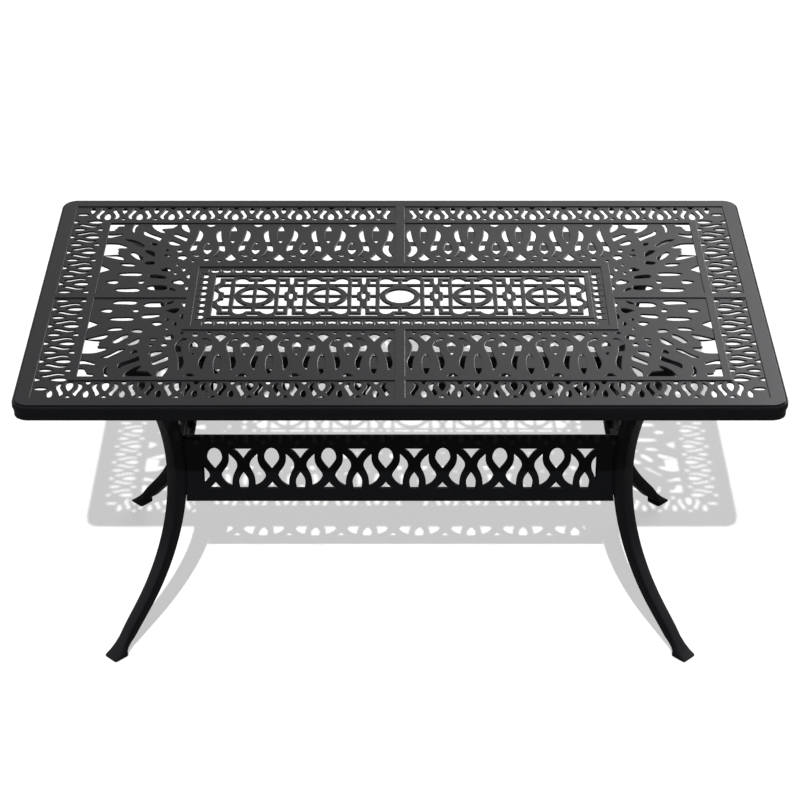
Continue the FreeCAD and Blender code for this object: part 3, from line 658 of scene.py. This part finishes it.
CROSS_GAP = (((-3.8, 50), (3.8, 50), (3.8, 78), (29, 78), (29, 88.5), (-29, 88.5), (-29, 78), (-3.8, 78)),
             (2, 3, 4, 5, 6, 7))
CROSS_SLOT = (((-3.8, -13.8), (3.8, -13.8), (3.8, 13.8), (-3.8, 13.8)), ())
END_SIDE = (((354, 4.8), (365.5, 4.8), (365.5, 15), (373, 17.5), (377.8, 25), (377.8, 33), (373, 41),
             (368, 43.2), (354, 43.2)), (0, 1, 2, 7, 8))
END_SMALL = (((354, 52.4), (365.5, 52.4), (365.5, 66.4), (354, 66.4)), (0, 1, 2, 3))
END_STRIP = (((386.6, 47), (380, 54), (377, 60), (377, 78), (348.5, 78), (348.5, 88.5), (386.6, 88.5)),
             (0, 3, 4, 5, 6))
END_MIDDLE = (((386.6, -24), (386.6, 24), (380, 16), (377.5, 9), (377.5, -9), (380, -16)), (0, 1))
BOX_PITCH = 151.0
# The photo shows a wider gap at the panel's front edge than at its rear edge
PANEL_SHIFT = 1.3
UMBRELLA_HOLE_RADIUS = 29.4
UMBRELLA_HOLE_CORNERS = 36


def border_side(pitch: float, cells: int, start: float, inner: float, corner_cell: tuple) -> list[Opening]:
    """List the openings of half a side of the border, its row along X.

    Args:
        pitch: length of one cell.
        cells: how many cells there are.
        start: where the row starts, at the corner.
        inner: edge of the inner bar.
        corner_cell: what stands in the cell at the corner.

    Returns:
        The openings that end short of the rib.
    """
    found = []
    for cell in range(cells):
        for place, side, motif in BORDER_CELL if cell else corner_cell:
            spots, sharp = moved(motif, 0, -side)
            made = [(start - (cell + place) * pitch + t, inner + r) for t, r in spots]
            if min(t for t, _ in made) > RIB_CLEARANCE:
                found.append((made, sharp))
    return found


def border_openings() -> list[Opening]:
    """List the border's openings in one quarter.

    Returns:
        The openings of half the front, then of half an end, whose row lies along Y.
    """
    along, across = BORDER_START
    front = border_side(LONG_PITCH, LONG_CELLS, along, across - BORDER_WIDTH, LONG_CORNER_CELL)
    end = border_side(END_PITCH, END_CELLS, across, along - BORDER_WIDTH, END_CORNER_CELL)
    return front + [([(y, x) for x, y in spots], sharp) for spots, sharp in end]


def wave_row(middle: tuple, whole: tuple, half: tuple) -> list[Opening]:
    """Repeat outlines along the half of a long field, as far as the fan.

    Args:
        middle: side and outline of what stands on the table's middle.
        whole: the same at each whole pitch.
        half: the same at each half pitch.

    Returns:
        The outlines in their places.
    """
    found = []
    for step in range(WAVE_HALF_PITCHES):
        repeated = half if step % 2 else whole
        for side, motif in repeated if step else middle:
            made, sharp = moved(motif, step * WAVE_PITCH / 2, side)
            if max(x for x, _ in made) < WAVE_END:
                found.append((made, sharp))
    return found


def field_openings() -> list[Opening]:
    """List the openings of the fields in one quarter."""
    return [*FAN_OPENINGS, *wave_row(WAVE_MIDDLE, WAVE_WHOLE, WAVE_HALF)]


def bead_openings() -> list[Opening]:
    """List the bead strip's openings in one quarter.

    Returns:
        The hearts and slits of half the front, then of half an end.
    """
    found = []
    for along_x, count, inner in ((True, LONG_BEADS, LONG_BEADS_START), (False, END_BEADS, END_BEADS_START)):
        for cell in range(count):
            for place, (spots, sharp) in ((cell + 0.5, BEAD_HEART), (cell + 1, BEAD_SLIT)):
                made = [(place * BEAD_PITCH + t, inner + r) for t, r in spots]
                found.append((made if along_x else [(y, x) for x, y in made], sharp))
    return found


def panel_openings() -> list[Opening]:
    """List the middle panel's openings, without the umbrella's hole.

    Returns:
        The openings of the whole panel: five boxes, four crosses between them and its two ends.
    """
    half = []
    for box in range(-2, 3):
        place = box * BOX_PITCH
        beside = (RING_CORNER, HALF_MOON, RING_QUARTER) if box else (RING_CORNER, HALF_MOON)
        half += [moved(motif, place, side) for side, motif in product(SIDES, beside)]
        half.append(moved(SHORT_GAP, place))
    crosses = [(box + 0.5) * BOX_PITCH for box in range(-2, 2)]
    for place in crosses:
        half += [moved(motif, place, side) for side, motif in product(SIDES, (CROSS_SIDE, SMALL_SLOT))]
        half.append(moved(CROSS_GAP, place))
    half += [moved(motif, 0, side) for side, motif in product(SIDES, (END_SIDE, END_SMALL, END_STRIP))]
    whole = half + [([(x, -y) for x, y in spots], sharp) for spots, sharp in half]
    whole += [moved(CROSS_SLOT, place) for place in crosses]
    whole += [moved(END_MIDDLE, 0, side) for side in SIDES]
    return [([(x, y + PANEL_SHIFT) for x, y in spots], sharp) for spots, sharp in whole]


@dataclass
class TableTop:
    """Openwork top: hollow rim, raised bars, lattice between them and pads for the legs."""

    half_length: float = 750.0
    half_width: float = 450.0
    corner_radius: float = 33.0
    frame_inset: float = 5.4
    band_outer: Point = (715.0, 415.0)
    band_inner: Point = (649.0, 349.0)
    band_overlap: float = 9.0
    field_edge: Point = (633.2, 333.2)
    field_overlap: float = 10.0
    panel_outer: Point = (443.0, 145.5)
    bead_outer: Point = (425.0, 127.5)
    bead_inner: Point = (397.5, 97.0)
    bead_overlap: float = 5.0
    panel_inner: Point = (387.0, 87.0)
    panel_overlap: float = 6.0
    rib_half: float = 10.2
    rim_bottom: float = 675.0
    rear_lift: float = 8.5
    rim_steps: int = 6
    rim_profile: tuple[Point, ...] = (
        (3, 675), (3, 688.5), (0.9, 690.6), (0, 693.5), (0, 701.5), (0.9, 704.4), (2.8, 706.2),
        (3.8, 705.9), (4.4, 704.2), (6.5, 704.2), (12, 704.2), (12, 699), (8, 698), (8, 675),
    )
    pad_half: Point = (55.0, 22.0)
    pad_cut: float = 12.0
    pad_sink: float = 0.6

    def make(self) -> None:
        """Build and dress every piece of the top."""
        for name, mesh in (
            ("top_rim", self.rim()), ("top_bars", self.bars()), ("top_bead_bar", self.bead_bar()),
            ("top_border", self.border()), ("top_fields", self.fields()), ("top_beads", self.beads()),
            ("top_panel", self.panel()), ("top_pads", self.pads()), ("top_webs", self.webs()),
        ):
            finish_piece(name, mesh, COATING, "table_top")

    def rim(self) -> BMesh:
        """Sweep the hollow rim's profile round the outline.

        The photo shows the floor through the rear border's outer holes, so the skirt is shallower there.

        Returns:
            The rim.
        """
        bm = bmesh.new()
        stand_up = Matrix.Rotation(math.radians(90), 4, "X")
        faces = []
        for quarter, (side_x, side_y) in enumerate(QUARTERS):
            centre = (side_x * (self.half_length - self.corner_radius),
                      side_y * (self.half_width - self.corner_radius), 0)
            bottom = self.rim_bottom + (self.rear_lift if side_y > 0 else 0)
            spots = [(self.corner_radius - inset, max(level, bottom)) for inset, level in self.rim_profile]
            for step in range(self.rim_steps + 1):
                turn = Matrix.Rotation(math.radians(90 * (quarter + step / self.rim_steps)), 4, "Z")
                face = make_face(bm, spots)
                bmesh.ops.transform(bm, matrix=Matrix.Translation(centre) @ turn @ stand_up,
                                    verts=face.verts)
                faces.append(face)
        loft(bm, faces, closed=True)
        return bm

    def angle(self, inner: Point, outer: Point) -> list[Point]:
        """Return the six corners of a ring's quarter between two ribs, by its inner and outer corner."""
        rib = self.rib_half
        return [(inner[0], rib), (outer[0], rib), outer, (rib, outer[1]), (rib, inner[1]), inner]

    def bars(self) -> BMesh:
        """Cut the frame, the ribs and the panel's frame out of one plate.

        Returns:
            The plate.
        """
        outline = rectangle(self.half_length - self.frame_inset, self.half_width - self.frame_inset)
        plate = PiercedPlate(outline, BARS_BOTTOM, TOP, BAR_LIP, self.corner_radius - self.frame_inset)
        for side_x, side_y in product(SIDES, SIDES):
            for ring in ((self.band_inner, self.band_outer), (self.panel_outer, self.field_edge)):
                plate.cut([(side_x * x, side_y * y) for x, y in self.angle(*ring)])
        plate.cut(rectangle(*self.bead_outer))
        return plate.build()

    def bead_bar(self) -> BMesh:
        """Cut the narrow bar between the beads and the middle panel.

        Returns:
            The bar.
        """
        plate = PiercedPlate(rectangle(*self.bead_inner), BARS_BOTTOM, TOP, BAR_LIP)
        plate.cut(rectangle(*self.panel_inner))
        return plate.build()

    def ring(self, inner: Point, outer: Point, overlap: float, levels: Point,
             openings: list[Opening]) -> BMesh:
        """Pierce one quarter of a ring of lattice and mirror it over both middle planes.

        Args:
            inner: inner corner of its visible part.
            outer: outer corner of its visible part.
            overlap: how far it reaches under the bars.
            levels: levels of its underside and its face.
            openings: the quarter's openings.

        Returns:
            The whole ring.
        """
        near_x, near_y = inner[0] - overlap, inner[1] - overlap
        far_x, far_y = outer[0] + overlap, outer[1] + overlap
        plate = PiercedPlate([(0, near_y), (near_x, near_y), (near_x, 0), (far_x, 0), (far_x, far_y),
                              (0, far_y)], *levels)
        plate.open_all(openings)
        bm = plate.build()
        mirror_over(bm, 0)
        mirror_over(bm, 1)
        return bm

    def border(self) -> BMesh:
        """Return the border's lattice."""
        return self.ring(self.band_inner, self.band_outer, self.band_overlap,
                         (LATTICE_BOTTOM, LATTICE_TOP), border_openings())

    def fields(self) -> BMesh:
        """Return the lattice of the long and end fields."""
        return self.ring(self.panel_outer, self.field_edge, self.field_overlap,
                         (LATTICE_BOTTOM, LATTICE_TOP), field_openings())

    def beads(self) -> BMesh:
        """Return the bead strip."""
        return self.ring(self.bead_inner, self.bead_outer, self.bead_overlap,
                         (BEADS_BOTTOM, BEADS_TOP), bead_openings())

    def panel(self) -> BMesh:
        """Pierce the middle panel.

        Returns:
            The panel with the umbrella's hole.
        """
        half_x, half_y = self.panel_inner
        outline = rectangle(half_x + self.panel_overlap, half_y + self.panel_overlap)
        plate = PiercedPlate(outline, PANEL_BOTTOM, PANEL_TOP)
        plate.open_all(panel_openings())
        plate.cut(circle(UMBRELLA_HOLE_RADIUS, UMBRELLA_HOLE_CORNERS))
        return plate.build()

    def pads(self) -> BMesh:
        """Set a pad for each leg under the lattice.

        Returns:
            The four pads.
        """
        bm = bmesh.new()
        for corner in Corner:
            pad = slab(bm, self.pad_half, self.pad_cut, FLANGE_TOP, LATTICE_BOTTOM + self.pad_sink)
            bmesh.ops.transform(bm, matrix=corner.matrix(), verts=pad)
        return bm

    def webs(self) -> BMesh:
        """Close the middle of some of the long fields' openings.

        Returns:
            The webs. Each is thickened to the side that its outline looks to, up or down.
        """
        bm = bmesh.new()
        for spots, _ in wave_row(WEBS_MIDDLE, WEBS_WHOLE, WEBS_HALF):
            make_face(bm, spots, LATTICE_TOP - WEB_DEPTH)
        mirrored_copy(bm, 0)
        mirrored_copy(bm, 1)
        bmesh.ops.solidify(bm, geom=bm.faces, thickness=WEB_THICKNESS)
        return bm


@dataclass
class Leg:
    """Bowed leg with its flange, bracket and foot, one casting."""

    corner: Corner
    top_level: float = 684.0
    top_side: float = 34.0
    waist_side: float = 32.0
    shin_side: float = 25.5
    ankle_side: float = 24.5
    ankle_level: float = 52.0
    rounding: float = 3.4
    round_segments: int = 3
    bend_steps: int = 16
    # The foot's sections: distance outwards, level, width, tilt in degrees, depth as a share of the width
    foot: tuple[tuple[float, ...], ...] = (
        (159.5, 37.5, 25.2, 7, 1), (171, 27.5, 27, -6.6, 0.97), (181.5, 18.5, 31.6, -17, 0.96),
        (188.75, 12, 35, -13.4, 0.985), (190, 6, 36, 0, 1), (190, 3.6, 35.2, 0, 1), (190, 3, 34, 0, 1),
    )
    flange_half: Point = (53.0, 20.0)
    flange_cut: float = 12.0
    bracket_face: float = 9.5
    bracket_back: float = 15.5
    bracket_tip: float = 56.1
    bracket_root: float = 5.0
    bracket_stem: float = 12.0
    bracket_bottom: float = 316.0
    bracket_height: float = 145.0

    def make(self) -> None:
        """Build and dress the leg."""
        bm = bmesh.new()
        self.shaft(bm)
        slab(bm, self.flange_half, self.flange_cut, FLANGE_BOTTOM, FLANGE_TOP)
        self.bracket(bm)
        bmesh.ops.transform(bm, matrix=self.corner.matrix(), verts=bm.verts)
        place = self.corner.name.lower()
        finish_piece("leg_casting_" + place, bm, COATING, "leg_" + place)

    def section(self, bm: BMesh, side: float, out: float, level: float, tilt: float,
                stretch: float = 1.0) -> BMFace:
        """Add one rounded square section.

        Args:
            bm: mesh that takes it.
            side: its width.
            out: its middle's distance from the waist's axis.
            level: its middle's level.
            tilt: its turn about the horizontal, in radians.
            stretch: its depth as a share of its width.

        Returns:
            The section's face.
        """
        verts = bmesh.ops.create_grid(bm, x_segments=1, y_segments=1, size=side / 2)["verts"]
        face = round_off(bm, verts[0].link_faces[0], self.rounding, self.round_segments)
        bmesh.ops.scale(bm, verts=face.verts, vec=(stretch, 1, 1))
        place = Matrix.Translation((out, 0, level)) @ Matrix.Rotation(tilt, 4, "Y")
        bmesh.ops.transform(bm, matrix=place, verts=face.verts)
        return face

    def bend(self, bm: BMesh, end_side: float, end_angle: float, shares: list[float]) -> list[BMFace]:
        """Add the sections of the bend on one side of the waist.

        Args:
            bm: mesh that takes them.
            end_side: width at the bend's end.
            end_angle: lean at the bend's end, in radians.
            shares: each section's place, from 0 at the waist to 1 at the end.

        Returns:
            The sections' faces.
        """
        faces = []
        for share in shares:
            angle = end_angle * share
            level = WAIST_LEVEL + LEG_RADIUS * math.sin(angle)
            side = self.waist_side + (end_side - self.waist_side) * share
            faces.append(self.section(bm, side, bow(level), level, angle))
        return faces

    def shaft(self, bm: BMesh) -> None:
        """Loft the shaft from the flange down to the sole.

        Args:
            bm: mesh that takes it.
        """
        lean = math.asin((self.top_level - WAIST_LEVEL) / LEG_RADIUS)
        shares = [step / self.bend_steps for step in range(self.bend_steps + 1)]
        faces = [self.section(bm, self.top_side, bow(self.top_level), self.top_level, 0, 1 / math.cos(lean))]
        faces += self.bend(bm, self.top_side, lean, shares[-2:0:-1])
        faces += self.bend(bm, self.shin_side, -SHIN_ANGLE, shares)
        faces.append(self.section(bm, self.ankle_side, bow(self.ankle_level), self.ankle_level, -SHIN_ANGLE))
        for out, level, side, tilt, stretch in self.foot:
            faces.append(self.section(bm, side, out, level, -math.radians(tilt), stretch))
        loft(bm, faces)

    def bracket(self, bm: BMesh) -> None:
        """Add the forked bracket that the stretchers' lugs bolt to.

        Args:
            bm: mesh that takes it.
        """
        face, back, tip, root = self.bracket_face, self.bracket_back, self.bracket_tip, self.bracket_root
        stem = self.bracket_stem / math.sqrt(2)
        floor = make_face(bm, [
            (-tip, -back), (-back, -back), (-back, -tip), (-face, -tip), (-face, -face - stem),
            (root + stem / 2, root - stem / 2), (root - stem / 2, root + stem / 2), (-face - stem, -face),
            (-tip, -face),
        ], self.bracket_bottom)
        bmesh.ops.transform(bm, matrix=Matrix.Rotation(math.radians(-45), 4, "Z"), verts=floor.verts)
        raised = bmesh.ops.extrude_face_region(bm, geom=[floor], use_keep_orig=True)["geom"]
        bmesh.ops.translate(bm, verts=verts_of(raised), vec=(0, 0, self.bracket_height))


# The stretchers' openings: along the rail from a crossing's axis, up it as a share of the window's height
STRETCHER_DROP = (((0, 0.49), (15.5, 0.70), (15, 0.87), (6.5, 1.0), (-6.5, 1.0), (-15, 0.87), (-15.5, 0.70)),
                  (0,))
STRETCHER_CURL = (((29.5, 0.86), (38, 0.77), (45, 0.67), (46.5, 0.57), (44, 0.48), (38, 0.36), (35, 0.23),
                   (34.5, 0.08), (28, 0.11), (20, 0.18), (14.5, 0.28), (13, 0.35), (16.5, 0.43), (23, 0.52),
                   (28, 0.62), (30, 0.73)), (0, 7))
STRETCHER_FOOT = (((-14.4, 0.02), (14.4, 0.02), (7.5, 0.07), (0, 0.17), (-7.5, 0.07)), (0, 1, 3))
STRETCHER_HANGER = (((0, 0.41), (5.5, 0.33), (9.3, 0.24), (9.9, 0.15), (7.7, 0.02), (-7.7, 0.02),
                     (-9.9, 0.15), (-9.3, 0.24), (-5.5, 0.33)), (0, 4, 5))
STRETCHER_TOP = (((-21.5, 0.985), (21.5, 0.985), (13, 0.925), (7, 0.85), (0, 0.74), (-7, 0.85),
                  (-13, 0.925)), (0, 1, 4))
# Places in a cell of the rail, in pitches: where a drop stands and where a hanger hangs
STAND = 0.25
HANG = 0.75
# What stands in one cell: place, side and opening
STRETCHER_CELL = ((STAND, 1, STRETCHER_DROP), (STAND, 1, STRETCHER_CURL), (STAND, -1, STRETCHER_CURL),
                  (STAND, 1, STRETCHER_FOOT), (HANG, 1, STRETCHER_HANGER), (HANG, 1, STRETCHER_TOP))
# The curls that the window's two ends cut off
STRETCHER_FIRST = (((-26, 0.58), (-17.5, 0.47), (-11.8, 0.38), (-11.8, 0.31), (-15, 0.25), (-24.6, 0.13)),
                   (0, 5))
STRETCHER_LAST = (((27.6, 0.845), (20, 0.77), (14, 0.67), (13, 0.56), (15.5, 0.43), (22, 0.30),
                   (25.2, 0.20)), (0, 6))


@dataclass
class Stretcher:
    """Openwork rail between two legs, with a rounded cap and a lug behind each end."""

    side: Side
    bottom: float = 308.0
    height: float = 161.0
    thickness: float = 7.0
    low_band: float = 30.1
    window: float = 100.9
    pitch: float = 118.5
    end_inset: float = 21.1
    end_steps: int = 8
    cap_drop: float = 2.1
    cap_inset: float = 0.5
    # The cap's profile: across the rail, and up from its top edge
    cap_profile: tuple[Point, ...] = (
        (-3.5, -9), (-3.5, -2.1), (-2.6, -1), (-1, -0.2), (0.5, 0), (2.5, -0.4), (4.5, -1.2), (5.6, -2.4),
        (5.6, -7), (4, -9),
    )
    window_inset: float = 35.0
    lug_start: float = 4.0
    lug_end: float = 2.0
    lug_thickness: float = 6.0
    lug_centre: float = 6.5
    lug_shorter: float = 16.0

    def make(self) -> None:
        """Build and dress the stretcher."""
        half = self.side.half_span() - self.end_inset
        levels = [(self.height - self.cap_drop) * step / self.end_steps for step in range(self.end_steps + 1)]
        right = [(half + self.flare(level), level) for level in levels]
        outline = right + [(-x, level) for x, level in reversed(right)]
        plate = PiercedPlate(outline, -self.thickness / 2, self.thickness / 2, STRETCHER_LIP)
        plate.open_all(self.openings(half - self.window_inset))
        bm = plate.build()
        bmesh.ops.transform(bm, matrix=Matrix.Rotation(math.radians(90), 4, "X"), verts=bm.verts)
        self.add_cap(bm, half + self.flare(self.height) - self.cap_inset)
        self.add_lugs(bm, half)
        bmesh.ops.translate(bm, verts=bm.verts, vec=(0, 0, self.bottom))
        bmesh.ops.transform(bm, matrix=self.side.matrix(), verts=bm.verts)
        node = "stretcher_" + self.side.name.lower()
        finish_piece("lattice_" + node, bm, COATING, node)

    def flare(self, level: float) -> float:
        """Return how far the legs' bow lengthens half the rail at a level above its lower edge."""
        return bow(self.bottom + level) / math.sqrt(2)

    def openings(self, half_window: float) -> list[Opening]:
        """List the rail's openings.

        Args:
            half_window: half the length that they may take.

        Returns:
            The openings, along the rail and up from its lower edge.
        """
        count = round(2 * half_window / self.pitch)
        chosen = []
        for cell in range(-1, count + 1):
            for place, side, motif in STRETCHER_CELL:
                made = moved(motif, (cell + place - count / 2) * self.pitch, side)
                if max(abs(x) for x, _ in made[0]) < half_window:
                    chosen.append(made)
        chosen.append(moved(STRETCHER_FIRST, (STAND - count / 2) * self.pitch))
        chosen.append(moved(STRETCHER_LAST, (count / 2 - STAND) * self.pitch))
        return [([(x, self.low_band + r * self.window) for x, r in spots], sharp) for spots, sharp in chosen]

    def add_cap(self, bm: BMesh, reach: float) -> None:
        """Add a rounded cap along the top edge, half a length to each side: a lighter strip in the photo."""
        loft(bm, [bm.faces.new([bm.verts.new((x, y, self.height + z)) for y, z in self.cap_profile])
                  for x in (-reach, reach)])

    def add_lugs(self, bm: BMesh, half: float) -> None:
        """Add the block behind each end that the leg's bracket bolts to.

        Args:
            bm: mesh that takes them.
            half: half the rail's length at the waist.
        """
        inner = half - self.window_inset + self.lug_start
        outer = half - self.lug_end
        for side in SIDES:
            block = bmesh.ops.create_cube(bm, size=1.0)["verts"]
            bmesh.ops.scale(bm, verts=block,
                            vec=(outer - inner, self.lug_thickness, self.height - self.lug_shorter))
            bmesh.ops.translate(bm, verts=block,
                                vec=(side * (inner + outer) / 2, self.lug_centre, self.height / 2))


# The camera, worked out from the photo's table edges: its lens in pixels, its place and its dip
PICTURE_WIDTH = 800
LENS_IN_PIXELS = 2462.4
FILM_WIDTH = 36
CAMERA_PLACE = (0, -4.5005, 3.1366)
CAMERA_DIP = math.radians(30.79)
FAR_CLIP = 100

# The studio: shares are of the white background, powers are in watts and the sun's in watts a square metre
WHITE = (1, 1, 1, 1)
WORLD_LIGHT = 0.07
FLOOR_HALF = 30
FLOOR_DARK = 0.12
FLOOR_PALE = 0.8
FLOOR_GLOW = 0.48
# The coat's upright faces show a dark floor in the photo, so a glossy ray sees a tenth of its white
FLOOR_IN_GLOSS = 0.1
SUN_POWER = 2.9
SUN_WIDTH = math.radians(0.6)
SUN_WAY = Vector((0.04, 0.953, -1)).normalized()
TABLE_MIDDLE = Vector((0, 0, 0.7))


def place_camera() -> None:
    """Stand the camera where the photograph was taken from."""
    data = bpy.data.cameras.new("camera")
    data.lens = LENS_IN_PIXELS * FILM_WIDTH / PICTURE_WIDTH
    data.clip_end = FAR_CLIP
    camera = bpy.data.objects.new("camera", data)
    camera.location = CAMERA_PLACE
    camera.rotation_euler = (math.radians(90) - CAMERA_DIP, 0, 0)
    bpy.context.scene.collection.objects.link(camera)
    bpy.context.scene.camera = camera


def background_rays(tree: NodeTree, glossy: float) -> NodeSocket:
    """Tell how much of the white background a ray sees: all for camera and transmission rays.

    Args:
        tree: node tree that takes the nodes.
        glossy: the share for glossy rays.

    Returns:
        The share, 0 for the rays that only carry light.
    """
    path = add_node(tree, "ShaderNodeLightPath")
    seen = add_node(tree, "ShaderNodeMath", {"operation": "MAXIMUM"},
                    {0: path.outputs["Is Camera Ray"], 1: path.outputs["Is Transmission Ray"]})
    mirrored = add_node(tree, "ShaderNodeMath", {"operation": "MULTIPLY", 1: glossy},
                        {0: path.outputs["Is Glossy Ray"]})
    both = add_node(tree, "ShaderNodeMath", {"operation": "MAXIMUM"},
                    {0: seen.outputs[0], 1: mirrored.outputs[0]})
    return both.outputs[0]


def light_world() -> None:
    """Surround the table with white that gives little light."""
    world = bpy.data.worlds.new("studio")
    bpy.context.scene.world = world
    world.use_nodes = True
    tree = world.node_tree
    tree.nodes.clear()
    strength = add_node(tree, "ShaderNodeMapRange", {"To Min": WORLD_LIGHT, "To Max": 1.0},
                        {"Value": background_rays(tree, 1.0)})
    back = add_node(tree, "ShaderNodeBackground", {"Color": WHITE}, {"Strength": strength.outputs[0]})
    add_node(tree, "ShaderNodeOutputWorld", None, {"Surface": back.outputs[0]})


def lay_floor() -> None:
    """Lay the pale floor: white to the camera, with the table's shadow, and darker to other rays."""
    mesh = bpy.data.meshes.new("floor")
    bm = bmesh.new()
    bmesh.ops.create_grid(bm, x_segments=1, y_segments=1, size=FLOOR_HALF)
    bm.to_mesh(mesh)
    bm.free()
    floor = bpy.data.objects.new("floor", mesh)
    bpy.context.scene.collection.objects.link(floor)
    paper = bpy.data.materials.new("pale_floor")
    paper.use_nodes = True
    tree = paper.node_tree
    tree.nodes.clear()
    seen = background_rays(tree, FLOOR_IN_GLOSS)
    shade = add_node(tree, "ShaderNodeMapRange", {"To Min": FLOOR_DARK, "To Max": FLOOR_PALE},
                     {"Value": seen})
    glow = add_node(tree, "ShaderNodeMath", {"operation": "MULTIPLY", 1: FLOOR_GLOW}, {0: seen})
    emit = add_node(tree, "ShaderNodeEmission", {"Color": WHITE}, {"Strength": glow.outputs[0]})
    matt = add_node(tree, "ShaderNodeBsdfDiffuse", None, {"Color": shade.outputs[0]})
    total = add_node(tree, "ShaderNodeAddShader", None, {0: emit.outputs[0], 1: matt.outputs[0]})
    add_node(tree, "ShaderNodeOutputMaterial", None, {"Surface": total.outputs[0]})
    mesh.materials.append(paper)


def add_sun() -> None:
    """Add the lamp that draws the shadow: it lies behind the table, crisp, and no glint goes with it."""
    data = bpy.data.lights.new("key", "SUN")
    data.energy = SUN_POWER
    data.angle = SUN_WIDTH
    sun = bpy.data.objects.new("key", data)
    sun.rotation_euler = SUN_WAY.to_track_quat("-Z", "Y").to_euler()
    sun.visible_glossy = False
    bpy.context.scene.collection.objects.link(sun)


def add_panel(name: str, size: Point, place: Vector, power: float) -> Object:
    """Hang a soft rectangular lamp that faces the table.

    Args:
        name: its name.
        size: its width and height.
        place: its middle.
        power: its power in watts.

    Returns:
        The lamp.
    """
    data = bpy.data.lights.new(name, "AREA")
    data.shape = "RECTANGLE"
    data.size, data.size_y = size
    data.energy = power
    lamp = bpy.data.objects.new(name, data)
    lamp.location = place
    lamp.rotation_euler = (TABLE_MIDDLE - place).to_track_quat("-Z", "Y").to_euler()
    bpy.context.scene.collection.objects.link(lamp)
    return lamp


def light_studio() -> None:
    """Set the white surroundings, the pale floor and the lamps."""
    bpy.context.scene.view_settings.view_transform = "Standard"
    light_world()
    lay_floor()
    add_sun()
    add_panel("rear_softbox", size=(6.0, 3.0), place=Vector((3.0, 6.0, 4.3)), power=90)
    # This panel only draws the glints on the casting's rounded edges: the photo has a single shadow
    glints = add_panel("right_panel", size=(3.0, 2.8), place=Vector((3.6, 4.2, 3.05)), power=420)
    glints.visible_diffuse = False


def finish_of(node: str) -> Finish:
    """Return the finish of the node with a name."""
    return next((finish for word, finish in SMALL_PARTS.items() if word in node), COATING)


def dress_nodes() -> None:
    """Give each CAD node its finish."""
    for name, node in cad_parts.items():
        node.data.materials.clear()
        node.data.materials.append(finish_of(name).material())


def main() -> None:
    """Build the table and its studio."""
    logging.basicConfig(level=logging.INFO, format="%(message)s")
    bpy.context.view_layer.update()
    place_camera()
    light_studio()
    dress_nodes()
    TableTop().make()
    for corner in Corner:
        Leg(corner).make()
    for side in Side:
        Stretcher(side).make()


if __name__ == "__main__":
    main()
